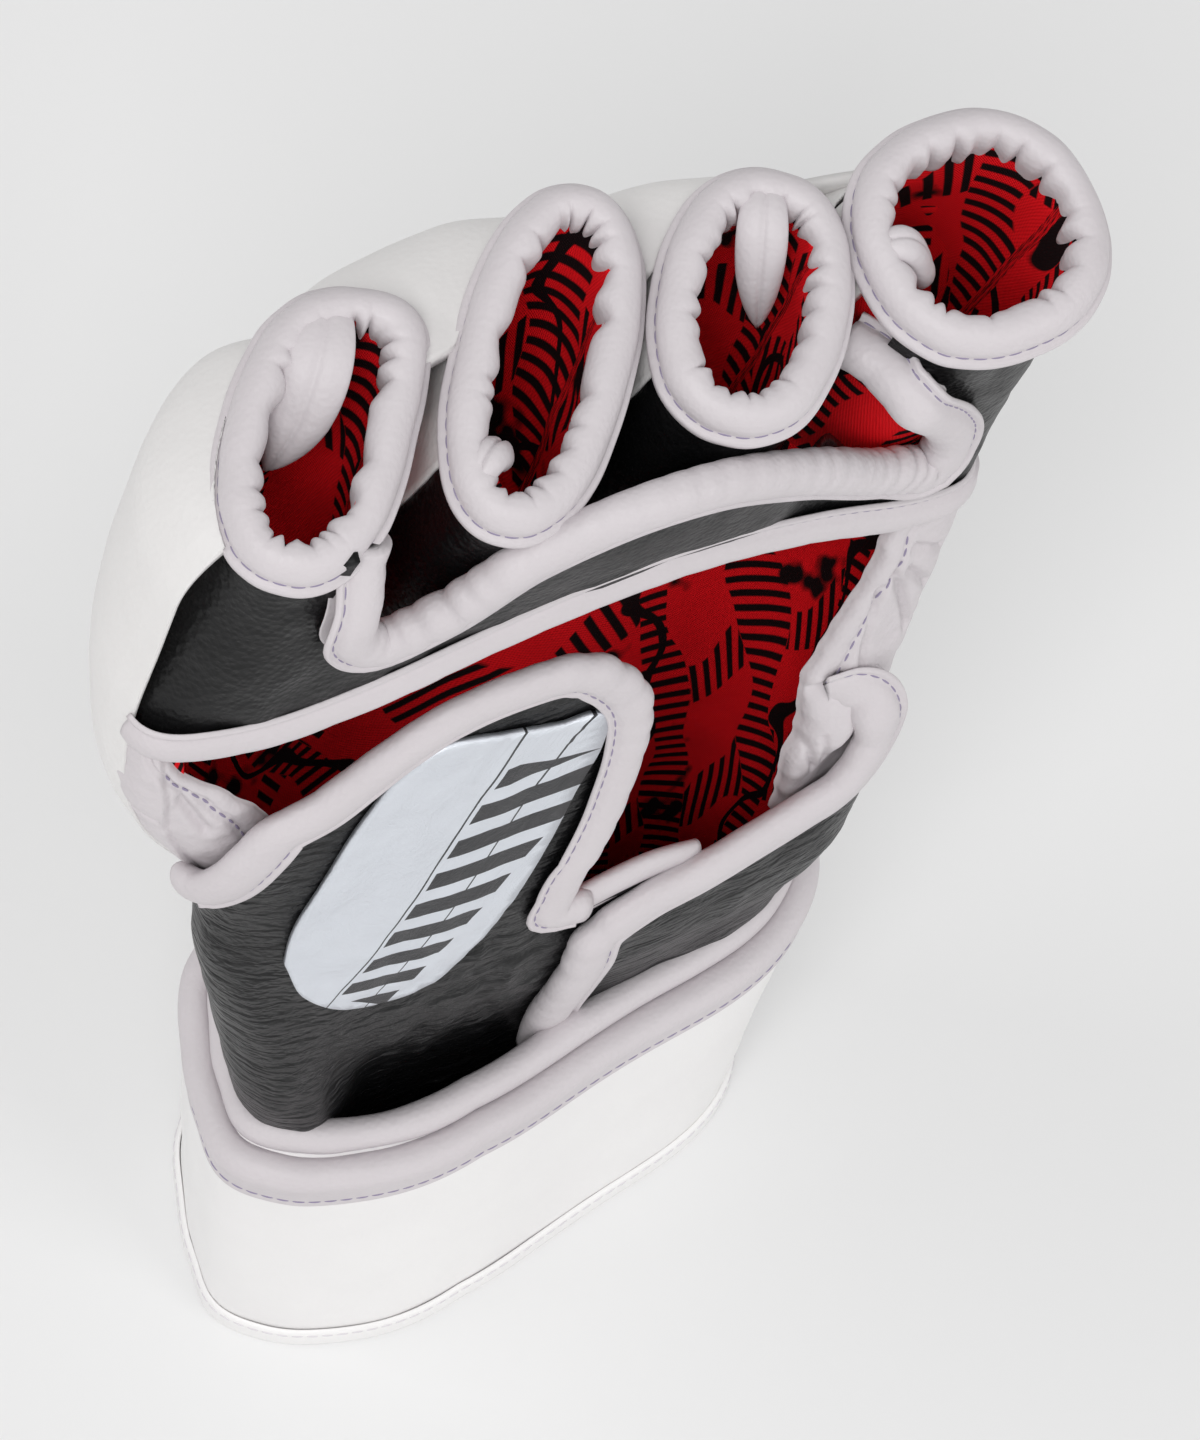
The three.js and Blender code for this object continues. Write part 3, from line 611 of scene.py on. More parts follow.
def panel(name, outline, spacing, skin, material):
    """Hide cut to a flat outline and laid over a form: skin(u, v, side) gives its two faces."""
    closed = np.vstack([outline, outline[:1]])
    rim = []
    for start, end in zip(closed[:-1], closed[1:]):
        steps = max(int(round(np.linalg.norm(end - start) / spacing)), 1)
        rim += [start + (end - start) * k / steps for k in range(steps)]
    rim = np.array(rim)
    low = rim.min(0)
    high = rim.max(0)
    across = np.arange(low[0], high[0], spacing)
    along = np.arange(low[1], high[1], spacing * 0.87)
    spots = np.array([(x + (spacing / 2 if j % 2 else 0), y) for j, y in enumerate(along) for x in across])
    spots = spots[inside_of(rim, spots)]
    clear = np.full(len(spots), 1e9)
    for corner in rim:
        clear = np.minimum(clear, np.hypot(*(spots - corner).T))
    flat = np.vstack([rim, spots[clear > spacing * 0.6]])
    edges = [(k, (k + 1) % len(rim)) for k in range(len(rim))]
    laid, _, cut, *_ = delaunay_2d_cdt([Vector(p) for p in flat], edges, [], 0, 1e-5)
    laid = np.array([tuple(p) for p in laid])
    cut = np.array(cut)
    cut = cut[inside_of(rim, laid[cut].mean(1))]
    count = len(laid)
    points = np.vstack([skin(laid[:, 0], laid[:, 1], 1), skin(laid[:, 0], laid[:, 1], 0)])
    faces = [tuple(map(int, f)) for f in cut] + [tuple(int(v) + count for v in f[::-1]) for f in cut]
    directed = {}
    for a, b, c in cut:
        for edge in ((a, b), (b, c), (c, a)):
            directed[edge] = True
    for a, b in directed:
        if (b, a) not in directed:
            faces.append((int(b), int(a), int(a) + count, int(b) + count))
    return new_piece(name, points, faces, material, np.vstack([laid, laid]))


band_line = spline(BAND_EDGE, 1.5)
slot_line = spline(SLOT_EDGE, 1.5)
band_low = palm_flat(band_line, SHELL_OUT)
band_low = band_low[(band_low[:, 0] > 183 * TURN_MM) & (band_low[:, 0] < 357 * TURN_MM)]
slot_flat = palm_flat(slot_line, SHELL_OUT)
BAND_TOP = 190.0
BAND_LEFT = 175.0
BAND_RIGHT = 366.0
outline = np.vstack([
    [(BAND_LEFT * TURN_MM, 157.0)],
    band_low,
    [(BAND_RIGHT * TURN_MM, 141.5), (BAND_RIGHT * TURN_MM, BAND_TOP), (slot_flat[-1, 0], BAND_TOP)],
    slot_flat[::-1],
    [(slot_flat[0, 0], BAND_TOP), (BAND_LEFT * TURN_MM, BAND_TOP)],
])
little_top = slot_flat[0, 0] / TURN_MM
index_top = slot_flat[-1, 0] / TURN_MM


def band_skin(u, v, side):
    deg = u / TURN_MM
    depth = SHELL_OUT if side else SHELL_IN
    flat = hand(deg, v, depth)
    share = (v - FORK) / (RING_HEIGHT - FORK)
    little_share = (deg - 182) / (little_top - 182)
    little = sleeve(
        "little", 186 + 82 * np.clip(little_share, -0.1, 1.3), np.clip(share, -0.4, 1),
        0.0 if side else -SLEEVE_LEATHER
    )
    index_share = (deg - index_top) / (BAND_RIGHT - index_top)
    index = sleeve(
        "index", 205 + 155 * np.clip(index_share, -0.3, 1.1), np.clip(share, -0.4, 1),
        0.0 if side else -SLEEVE_LEATHER
    )
    climb = ease((v - 150) / 38)
    to_little = (climb * (1 - ease((flat[:, 0] + 30) / 16)))[:, None]
    to_index = (climb * ease((flat[:, 0] - 24) / 12))[:, None]
    laid = flat * (1 - to_little - to_index) + little * to_little + index * to_index
    if side:
        away = hand(deg, v, depth + 1) - flat
        bend = 0.7 * rumple(laid * np.array([1.0, 1.0, 0.55]), 11.0, 40.0) + 0.25 * rumple(laid, 3.5, 8.0)
        laid = laid + away * bend[:, None]
    return laid


palm_band = panel("palm_band_leather", outline, 1.5, band_skin, black_hide)
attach(palm_band, "root")
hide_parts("palm_band")


# Knuckle pads: moulded foam under white hide, one pad behind the little, ring and middle fingers
# and a smaller one behind the index. Each is thick at the knuckles, thins towards the wrist, and
# rolls over at the top into the dips between the finger sleeves.
PAD = 7.6
PAD_LOW = 118.0
PAD_HIGH = 189.0
PAD_BASE = 3.4
PAD_CROWN = 11.0


def clear_of_sleeves(points):
    """Moves the part of a pad's cap that would stand inside a finger sleeve back to its leather."""
    start = points
    points = points.copy()
    share = np.clip((points[..., 2] - FORK) / (RING_HEIGHT - FORK), 0, 1)
    for data in FINGERS.values():
        foot = np.array(data["foot"] + (0,), float)
        x, y, w, h, turn = np.moveaxis(
            foot + (np.array(data["ring"], float) - foot) * share[..., None], -1, 0
        )
        r = np.radians(turn)
        for _ in range(110):
            dx = points[..., 0] - x
            dy = points[..., 1] - y
            u = np.abs(dx * np.cos(r) + dy * np.sin(r)) / (w - 0.4)
            v = np.abs(dy * np.cos(r) - dx * np.sin(r)) / (h - 0.4)
            points[..., 1] += 0.25 * (u**2.3 + v**2.3 < 1)
    return start + (points - start) * ease((start[..., 2:] - FORK - 3.0) / 12.0)


def pad_form(start, end, high, thick, ease_in, ease_out, dips):
    """Outer and inner grid of a pad between two angles, domed and rolled over at its top."""
    u = np.linspace(0, 1, 150)[None, :]
    rise = np.concatenate([np.linspace(0, 1, 80), np.ones(60)])[:, None]
    over = np.concatenate([np.zeros(80), np.linspace(0, 1, 61)[1:]])[:, None] * math.pi / 2
    deg = start + (end - start) * u + 0 * rise
    edge = ease(u / 0.06) * ease((1 - u) / 0.06)
    swell = ease(u / ease_in) * ease((1 - u) / ease_out) * ease(rise / 0.95)
    dip = sum(depth * bell(deg, at, wide) for at, wide, depth in dips)
    crown = high - PAD_CROWN - 0.2 * dip
    z = PAD_LOW + (crown - PAD_LOW) * rise + PAD_CROWN * np.sin(over)
    out = PAD_BASE + 0.4 + 0.6 * ease(rise / 0.06) * edge + thick * swell * (1 - 0.03 * dip)
    out = out - (out + 7.0) * (1 - np.cos(over))
    form = hand(deg, z, out)
    soft_folds = 0.35 * rumple(form, 15.0, 33.0) + 0.10 * rumple(form, 5.0, 3.0)
    outer = hand(deg, z, out + soft_folds * ease(rise / 0.1) * ease(edge))
    inner = hand(deg, z - 1.2 * ease(over), np.minimum(out - 0.5, PAD_BASE - 0.1))
    return clear_of_sleeves(outer), clear_of_sleeves(inner)


for name, node, start, end, high, thick, ease_in, ease_out, dips, fill in (
    (
        "knuckle_pad_hide", "knuckle_pad", 68.0, 182.0, PAD_HIGH + 0.5, PAD, 0.25, 0.55,
        [(121, 7, 9.0), (88, 6, 8.0)], 0.9
    ),
    ("index_pad_hide", "index_pad", 11.0, 60.0, PAD_HIGH - 6.0, PAD * 0.35, 0.4, 0.4, [(61, 7, 6.0)], 0.8),
):
    outer, inner = pad_form(start, end, high, thick, ease_in, ease_out, dips)
    points, faces = two_sided(outer, inner)
    pad = new_piece(name, points, faces, white_hide)
    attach(pad, "root")
    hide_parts(node)


# Edge bindings: a strip of thin garment leather, off-white with a lilac cast, folded over each raw
# edge and sewn down through its flange, so that it puffs into a roll and puckers where it bends.
trim_hide = leather("off-white garment leather", "#d5cfd2", "#cac4c7", 0.7, 0.3, 0.5, 4.0, 0.3)


def swept(name, path, up, sections, material, closed=False):
    """A skin over a closed section that follows a path; returns the piece and the skin's points."""
    if closed:
        ahead = np.roll(path, -1, axis=0) - np.roll(path, 1, axis=0)
    else:
        ahead = np.gradient(path, axis=0)
    ahead /= np.linalg.norm(ahead, axis=1)[:, None]
    side = np.cross(ahead, up)
    side /= np.linalg.norm(side, axis=1)[:, None]
    up = np.cross(side, ahead)
    skin = path[:, None] + side[:, None] * sections[..., 0:1] + up[:, None] * sections[..., 1:2]
    rows, ring = skin.shape[:2]
    faces = []
    for k in range(rows if closed else rows - 1):
        after = (k + 1) % rows
        for s in range(ring):
            beside = (s + 1) % ring
            faces.append((k * ring + s, k * ring + beside, after * ring + beside, after * ring + s))
    points = skin.reshape(-1, 3)
    if not closed:
        middles = np.stack([skin[0].mean(0), skin[-1].mean(0)])
        points = np.vstack([points, middles])
        for s in range(ring):
            beside = (s + 1) % ring
            faces.append((rows * ring, beside, s))
            faces.append((rows * ring + 1, (rows - 1) * ring + s, (rows - 1) * ring + beside))
    return new_piece(name, points, faces, material), skin


def dense(section, count):
    """The same closed section with more points, rounded at its corners."""
    loop = np.vstack([section[-2:], section, section[:3]])
    table = np.column_stack([np.arange(len(loop), dtype=float), loop])
    return eased_rows(table, 2 + np.arange(count) * len(section) / count)


seams = {"trim": [], "cloth": []}
RING_SECTION = np.array([
    (0.2, -4.9), (1.2, -5.0), (1.9, -4.2), (2.5, -2.9), (2.45, -1.9), (1.6, -1.75), (1.8, -0.6),
    (1.35, 0.7), (0.5, 1.55), (-0.6, 1.95), (-1.7, 1.65), (-2.4, 0.7), (-2.7, -0.7), (-2.6, -2.2),
    (-2.45, -4.6), (-2.05, -4.7), (-2.0, -1.6), (-0.9, 0.1), (0.2, -1.2),
])
GATHERS = {"little": (19, 3.0), "ring": (22, 14.0), "middle": (19, 8.0), "index": (18, 5.0)}
for finger, (count, seed) in GATHERS.items():
    steps = 360
    angle = np.linspace(0, 360, steps, endpoint=False)
    path = ring_point(finger, angle, -ROLL)
    up = np.tile([0.0, -math.sin(RING_TILT), math.cos(RING_TILT)], (steps, 1))
    circle = np.stack([np.cos(np.radians(angle)), np.sin(np.radians(angle)), np.full(steps, seed)], -1)
    drift = 1.1 * rumple(circle, 0.5, seed) + 0.3 * rumple(circle, 0.2, seed + 3)
    phase = angle / 360 * count + drift
    depth = 0.75 + 0.6 * rumple(circle, 0.4, seed + 7)
    pucker = (np.abs(np.sin(phase * math.pi)) ** 0.7 - 0.6) * depth
    sections = np.tile(RING_SECTION, (steps, 1, 1))
    inward = np.clip(-RING_SECTION[:, 0] / 2.7, 0, 1) ** 2
    sections[:, 9:15, 0] -= 1.5 * pucker[:, None] * inward[9:15]
    sections[:, 9:12, 1] += 0.12 * pucker[:, None]
    sections[:, 3:10, 0] += 0.16 * rumple(circle, 0.3, seed + 11)[:, None]
    swell = 0.25 * rumple(circle, 0.5, seed + 17)
    sections[:, 3:12, 1] += swell[:, None]
    fine = np.stack([dense(s, 38) for s in sections])
    ring, skin = swept(finger + "_ring_roll", path, up, fine, trim_hide, closed=True)
    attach(ring, "root")
    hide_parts(finger + "_binding")
    groove = int(round(5 * 38 / len(RING_SECTION)))
    seams["trim"].append(np.vstack([skin[:, groove], skin[:1, groove]]))


EDGE_SECTION = np.array([
    (3.5, 0.95), (3.9, 1.2), (3.5, 1.7), (2.85, 1.15), (2.2, 1.95), (1.0, 2.4), (-0.4, 2.4),
    (-1.6, 1.75), (-2.3, 0.6), (-2.3, -0.6), (-1.6, -1.7), (-0.4, -2.2), (1.0, -2.1), (2.4, -1.6),
    (3.2, -1.2), (3.2, -0.95), (0.1, -0.85), (-0.3, 0.0), (0.1, 0.85),
])


def edge_binding(name, nodes, path, up, toward, wide, thick, pucker_mm, pucker, seed):
    """A folded strip along an edge: `toward` is +1 where the leather lies to the path's right."""
    steps = len(path)
    reach = np.concatenate([[0], np.cumsum(np.linalg.norm(np.diff(path, axis=0), axis=1))])
    place = np.stack([reach, 0 * reach, 0 * reach + seed], -1)
    sections = np.tile(EDGE_SECTION, (steps, 1, 1))
    phase = reach / pucker_mm + 0.7 * rumple(place, pucker_mm * 2.2, seed)
    fullness = 0.5 + 0.9 * np.clip(rumple(place, 14.0, seed + 5) + 0.35, 0, 1)
    wave = (np.abs(np.sin(phase * math.pi)) ** 0.6 - 0.6) * fullness
    strength = pucker(reach / reach[-1]) if callable(pucker) else pucker
    breadth = wide(reach / reach[-1])[:, None] if callable(wide) else wide
    sections[:, 6:12, 0] -= (strength * wave)[:, None]
    sections[:, 4:8, 1] += 0.5 * (strength * wave)[:, None]
    sections[:, 4:7, 1] += 0.18 * rumple(place, 7.0, seed + 9)[:, None]
    sections[..., 0] *= breadth / 2.3 * toward
    sections[..., 1] *= thick / 2.3
    fine = np.stack([dense(s, 38) for s in sections])
    strip, skin = swept(name, path, up, fine, trim_hide)
    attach(strip, "root")
    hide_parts(*nodes)
    groove = int(round(3 * 38 / len(EDGE_SECTION)))
    seams["trim"].append(skin[2:-2, groove])


def palm_edge(rows, out, spacing=0.7):
    line = spline(rows, spacing)
    path = palm(line[:, 0], line[:, 1], out)
    up = palm(line[:, 0], line[:, 1], out + 4) - path
    return path, up


def side_edge(rows, out, spacing=0.7):
    line = spline(np.asarray(rows, float) * [TURN_MM, 1.0], spacing)
    path = hand(line[:, 0] / TURN_MM, line[:, 1], out)
    up = hand(line[:, 0] / TURN_MM, line[:, 1], out + 4) - path
    return path, up


SHELL_MIDDLE = (SHELL_IN + SHELL_OUT) / 2
path, up = palm_edge(SLOT_EDGE, SHELL_MIDDLE)
path = path - up / 4 * (5.5 * ease(1 - np.arange(len(path)) / 14.0))[:, None]
path = spline(np.vstack([path[::3], SLOT_TRAIL]), 0.7)
up = palm(path[:, 0], path[:, 2], SHELL_MIDDLE + 4) - palm(path[:, 0], path[:, 2], SHELL_MIDDLE)
climb = ease((path[:, 1] - 2.0) / 4.0)[:, None] * (path[:, :1] > 30.0)
up = up * (1 - climb) + np.array([0.0, -1.6, 3.6]) * climb
edge_binding(
    "slot_edge_roll", ["slot_binding"], path, up, 1, 2.4, 2.3, 3.4,
    lambda s: 0.25 + 0.9 * bell(s, 0.19, 0.05) + 1.1 * bell(s, 0.72, 0.05), 4.0,
)
band_turns = [(181, 155.8)] + [(palm_angle(x, z, SHELL_MIDDLE).item(), z) for x, z in BAND_EDGE[1:]]
path, up = side_edge(band_turns, SHELL_MIDDLE)
edge_binding("palm_band_edge_roll", ["palm_band_binding"], path, up, -1, 2.3, 2.1, 6.0, 0.12, 12.0)


# Free edges of the back: the white hide is bound at the little finger side and at the thumb side.
# The strips are wide here and, with nothing to hold them, fold over and wrinkle; the raw edge of
# each lies on the lining and is sewn down two millimetres in.
def valley(deg, z, start, end, wide, depth):
    """A crease from one (degrees, height) place to another, as a change of height."""
    u = (deg - start[0]) * TURN_MM
    v = z - start[1]
    du = (end[0] - start[0]) * TURN_MM
    dv = end[1] - start[1]
    t = np.clip((u * du + v * dv) / (du * du + dv * dv), 0, 1)
    return -depth * np.exp(-((u - t * du) ** 2 + (v - t * dv) ** 2) / wide**2)


def side_strip(name, node, rows, relief, sewn, seed):
    """Rows give height, raw edge and far edge in degrees; relief(deg, z, s) is the strip's height."""
    rows = np.array(rows, float)
    z = np.linspace(rows[0, 0], rows[-1, 0], 130)
    near, far = np.moveaxis(eased_rows(rows, z), -1, 0)
    near = near + 1.1 * rumple(np.stack([z, 0 * z, 0 * z + seed], -1), 2.6, seed)
    s = (1 - np.cos(np.linspace(0, math.pi, 90))) / 2
    s = 0.6 * s + 0.4 * np.linspace(0, 1, 90)
    deg = near[:, None] + (far - near)[:, None] * s
    height = z[:, None] + 0 * deg
    rounded = np.clip(1 - (2 * s - 1) ** 16, 0, 1) ** 0.5
    form = hand(deg, height, 2.0)
    top = relief(deg, height, s) + 0.3 * rumple(form, 5.0, seed) + 0.14 * rumple(form, 1.9, seed + 3)
    low = 1.0
    points, faces = two_sided(
        hand(deg, height, low + (top - low) * rounded), hand(deg, height, low - 0.3 * rounded)
    )
    strip = new_piece(name, points, faces, trim_hide)
    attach(strip, "root")
    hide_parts(node)
    at = int(np.abs(s - sewn[0]).argmin())
    keep = (z > sewn[1]) & (z < sewn[2])
    seams["trim"].append(hand(deg, height, top - 0.05)[keep, at])


def little_relief(deg, z, s):
    fold = 193.5 + 2.0 * bell(z, 144.0, 5.0)
    outer = ease((fold - deg) / 2.0)
    bulge = 0.5 * bell(z, 145.0, 6.5) * ease((205 - deg) / 22)
    flange = -0.55 * bell(s, 0.13, 0.025) - 0.45 * ease((0.13 - s) / 0.02)
    dip = (
        valley(deg, z, (200, 143), (207, 135), 1.3, 0.9)
        + valley(deg, z, (176, 141), (190, 139), 0.6, 0.5)
    )
    return 2.5 + 0.9 * outer + bulge + flange + dip


def thumb_relief(deg, z, s):
    flange = (-0.5 * bell(s, 0.15, 0.02) - 0.35 * ease((0.15 - s) / 0.02)) * ease((z - 113) / 4)
    folds = (
        valley(deg, z, (-34, 133), (-14, 119), 0.8, 1.1)
        + valley(deg, z, (-29, 133), (-12, 126), 0.7, 0.9)
        + valley(deg, z, (-30, 137), (-10, 132), 0.7, 0.9)
        + valley(deg, z, (-37, 131), (-35, 118), 0.9, 0.7)
        + valley(deg, z, (-47, 107), (-38, 99), 0.6, 0.8)
        + valley(deg, z, (-43, 108), (-36, 101), 0.5, 0.5)
        + valley(deg, z, (-48, 116), (-40, 117), 1.0, 1.0)
    )
    swell = 2.6 * bell(z, 109.0, 7.0) * bell(deg, -36.0, 9.0)
    return 3.4 + 0.5 * ease((deg + 30) / 15) + flange + folds + swell


side_strip("little_side_roll", "little_side_binding", [
    (119, 223, 163), (126, 226, 163), (132, 225, 163), (135, 222.5, 163), (138.5, 218.5, 163),
    (142.5, 211.5, 163), (146, 203, 163), (149.5, 196, 163), (154, 190, 163),
], little_relief, (0.13, 125.0, 148.0), 22.0)
side_strip("thumb_side_roll", "thumb_side_binding", [
    (89, -43, -10), (92, -43.5, -6), (96, -45, -2), (102.5, -47.5, 2), (107, -46.5, 4), (112, -48.5, 5),
    (117, -50, 6), (121.5, -48, 6), (127, -44.5, 6), (133.5, -40.5, 6), (139.5, -40, 6), (144, -40, 6),
], thumb_relief, (0.15, 116.0, 139.0), 31.0)


# Heel flap: a tongue of black cowhide from the little finger side over the heel of the hand. It is
# the same hide, drawn into fine slanting wrinkles, and its bound edge ends in a sill at the wrist.
pulled_hide = leather(
    "black cowhide drawn into wrinkles", "#101011", "#08080a", 0.8, 0.7, 0.38, 5.0, 0.35,
    (57, 1.4, 1.2), 0.36
)
HEEL_START = [
    (189, 121.5), (194, 122.2), (199, 123), (205, 124.8), (210.5, 127.2), (217, 131), (224, 135.4)
]
HEEL_EDGE = [
    (-31.5, 138), (-28, 140.5), (-23, 144), (-16, 147.5), (-8, 148.5), (-1, 147.5),
    (4, 143), (7.4, 136), (7.6, 129), (5.4, 118), (2, 108), (-0.8, 101), (-1.2, 96), (2.5, 94.5),
]
HEEL_SILL = [(7, 95.5), (12, 95.8), (18, 94)]
HEEL_IN = 3.4
HEEL_OUT = 5.0
heel_turns = np.array(HEEL_START + [(palm_angle(x, z, HEEL_OUT).item(), z) for x, z in HEEL_EDGE])
heel_flat = spline(heel_turns * [TURN_MM, 1.0], 1.5)
sill_line = spline([HEEL_EDGE[-1]] + HEEL_SILL, 1.5)[1:]
sill_flat = palm_flat(sill_line, HEEL_OUT)
outline = np.vstack([
    [(176 * TURN_MM, 8), (sill_flat[-1, 0], 8)], sill_flat[::-1], heel_flat[::-1], [(176 * TURN_MM, 112)],
])


def heel_skin(u, v, side):
    depth = HEEL_OUT if side else HEEL_IN
    laid = hand(u / TURN_MM, v, depth)
    if side:
        away = hand(u / TURN_MM, v, depth + 1) - laid
        squeezed = ease((u - 225 * TURN_MM) / 14) * ease((112 - v) / 22)
        crush = 0.5 * rumple(laid * np.array([0.8, 1.0, 1.3]), 3.2, 11.0) + 0.3 * rumple(laid, 1.7, 2.0)
        pulled = (
            0.5 * rumple(laid * np.array([1.6, 1.0, 0.5]), 7.0, 19.0)
            + 0.14 * rumple(laid * np.array([1.3, 1.0, 0.6]), 2.2, 5.0)
        )
        laid = laid + away * (pulled + 1.15 * squeezed * crush)[:, None]
    return laid


heel_flap = panel("heel_flap_leather", outline, 1.1, heel_skin, pulled_hide)
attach(heel_flap, "root")
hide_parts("heel_flap")
HEEL_MIDDLE = (HEEL_IN + HEEL_OUT) / 2
path, up = side_edge(heel_turns, HEEL_MIDDLE + 0.8)
edge_binding(
    "heel_flap_edge_roll", ["heel_flap_binding"], path, up, 1,
    lambda s: 2.3 + 0.6 * ease((0.35 - s) / 0.25), 1.8, 5.0,
    lambda s: 0.15 + 0.5 * bell(s, 0.55, 0.12), 44.0,
)
path, up = palm_edge([HEEL_EDGE[-1]] + HEEL_SILL, HEEL_MIDDLE)
edge_binding("heel_sill_roll", ["heel_sill_binding"], path, up, 1, 2.0, 1.3, 5.0, 0.2, 50.0)


# Patch: a leaf of silver foil-coated leather stuck on the heel flap, with a pressed line inside its
# edge and a few slanted dark bars.
foil, metal = new_material("silver foil-coated leather")
where = add_node(foil, "ShaderNodeTexCoord")
crease = add_node(
    foil, "ShaderNodeTexNoise", {"Scale": 140.0, "Detail": 8.0, "Roughness": 0.7, "Distortion": 1.6},
    {"Vector": where.outputs[3]}
)
raised = add_node(
    foil, "ShaderNodeBump", {"Strength": 0.6, "Distance": 0.0006}, {"Height": crease.outputs[0]}
)
foil.node_tree.links.new(raised.outputs[0], metal.inputs["Normal"])
metal.inputs["Metallic"].default_value = 0.7
metal.inputs["Roughness"].default_value = 0.35
BAR_ROW = ((-23.8, 92.5), (3.0, 126.5))
BAR_PITCH = 6.0
BAR_HALF = 4.9
BAR_THICK = 3.3
BAR_SLANT = 0.55
ROW_HALF = 23.5
ROW_BEND = -0.006
row_start, row_end = [np.array([palm_angle(x, z, HEEL_OUT).item() * TURN_MM, z]) for x, z in BAR_ROW]
row_way = (row_end - row_start) / np.linalg.norm(row_end - row_start)
row_middle = (row_start + row_end) / 2
spread = add_node(foil, "ShaderNodeUVMap", {"uv_map": "flat"})
parts = add_node(foil, "ShaderNodeSeparateXYZ", None, {0: spread.outputs[0]})
du = combine(foil, "SUBTRACT", parts.outputs[0], float(row_middle[0]))
dv = combine(foil, "SUBTRACT", parts.outputs[1], float(row_middle[1]))
run = combine(foil, "MULTIPLY", du, float(row_way[0]))
run = combine(foil, "MULTIPLY_ADD", dv, float(row_way[1]), run)
off = combine(foil, "MULTIPLY", du, -float(row_way[1]))
off = combine(foil, "MULTIPLY_ADD", dv, float(row_way[0]), off)
off = combine(foil, "ADD", off, -0.6)
off = combine(foil, "MULTIPLY_ADD", combine(foil, "MULTIPLY", run, run), ROW_BEND, off)
slanted = combine(foil, "MULTIPLY_ADD", off, BAR_SLANT, run)
bars = combine(foil, "LESS_THAN", combine(foil, "PINGPONG", slanted, BAR_PITCH / 2), BAR_THICK / 2)
inside_row = combine(foil, "LESS_THAN", combine(foil, "ABSOLUTE", off), BAR_HALF)
row_ends = combine(foil, "LESS_THAN", combine(foil, "ABSOLUTE", run), ROW_HALF)
drawn = combine(foil, "MULTIPLY", combine(foil, "MULTIPLY", bars, inside_row), row_ends)
line_one = combine(foil, "ABSOLUTE", combine(foil, "SUBTRACT", off, 5.6))
line_one = combine(foil, "LESS_THAN", line_one, 0.13)
line_two = combine(foil, "MULTIPLY_ADD", run, -0.05, combine(foil, "ADD", off, 0.6))
line_two = combine(foil, "LESS_THAN", combine(foil, "ABSOLUTE", line_two), 0.10)
inked = combine(foil, "MAXIMUM", drawn, combine(foil, "MAXIMUM", line_one, line_two))
tone = add_node(
    foil, "ShaderNodeMix", {"data_type": "RGBA", 6: from_srgb("#dfe3ea"), 7: from_srgb("#242428")},
    {0: inked}
)
shine = combine(foil, "MULTIPLY_ADD", inked, -0.7, 0.7)
foil.node_tree.links.new(tone.outputs[2], metal.inputs["Base Color"])
foil.node_tree.links.new(shine, metal.inputs["Metallic"])
PATCH_EDGE = [
    (-36.3, 106), (-35.6, 111), (-31, 124), (-26, 134.5), (-20.5, 141.2), (-17, 142.8), (-8, 140),
    (-2.3, 138), (3.4, 136.7), (3.4, 130.5), (0, 122.5), (-3, 114.5), (-6.8, 106), (-11.8, 97.5),
    (-18.5, 90.8), (-27.2, 91), (-34, 97.5), (-36.3, 106),
]
patch_line = spline(PATCH_EDGE, 1.0)[:-1]
patch_flat = palm_flat(patch_line, HEEL_OUT)


def patch_skin(u, v, side):
    laid = heel_skin(u, v, 1)
    base = hand(u / TURN_MM, v, HEEL_OUT)
    away = hand(u / TURN_MM, v, HEEL_OUT + 1) - base
    laid = base + (laid - base) * 0.55
    return laid + away * (0.95 if side else 0.2)


patch = panel("patch_foil", patch_flat, 1.0, patch_skin, foil)
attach(patch, "root")
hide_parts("patch")


# Thumb flap: black cowhide from the thumb side, laid over the sill and bound along its top and leg.
THUMB_EDGE = [(0.5, 52), (1.2, 66), (2.2, 80), (4.4, 88.5), (9.5, 91.6), (18, 93.5), (25, 95.5)]
THUMB_HOOK = [
    (315.5, 97), (328, 98), (333, 100.5), (335, 104), (333, 108.5), (328.5, 112.5), (322, 114.5),
    (316, 114.5)
]
THUMB_IN = 5.3
THUMB_OUT = 6.9
thumb_turns = np.array([(palm_angle(x, z, THUMB_OUT).item(), z) for x, z in THUMB_EDGE] + THUMB_HOOK)
thumb_flat = spline(thumb_turns[:-4] * [TURN_MM, 1.0], 1.5)
outline = np.vstack([[(thumb_flat[0, 0], 8)], thumb_flat, [(368 * TURN_MM, 94), (368 * TURN_MM, 8)]])


def thumb_skin(u, v, side):
    depth = THUMB_OUT if side else THUMB_IN
    laid = hand(u / TURN_MM, v, depth)
    if side:
        away = hand(u / TURN_MM, v, depth + 1) - laid
        creases = 0.55 * rumple(laid, 8.0, 60.0) + 0.25 * rumple(laid * np.array([0.7, 1, 1.4]), 2.8, 61.0)
        laid = laid + away * creases[:, None]
    return laid


thumb_flap = panel("thumb_flap_leather", outline, 1.3, thumb_skin, pulled_hide)
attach(thumb_flap, "root")
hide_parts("thumb_flap")
path, up = side_edge(thumb_turns, (THUMB_IN + THUMB_OUT) / 2 + 0.5)
path = path - up / 4 * (4.5 * ease((np.linspace(0, 1, len(path)) - 0.86) / 0.14))[:, None]
edge_binding(
    "thumb_flap_edge_roll", ["thumb_flap_binding"], path, up, 1, 2.6, 1.9, 5.5,
    lambda s: 0.15 + 0.6 * bell(s, 0.40, 0.06) + 0.7 * ease((s - 0.8) / 0.1), 71.0,
)


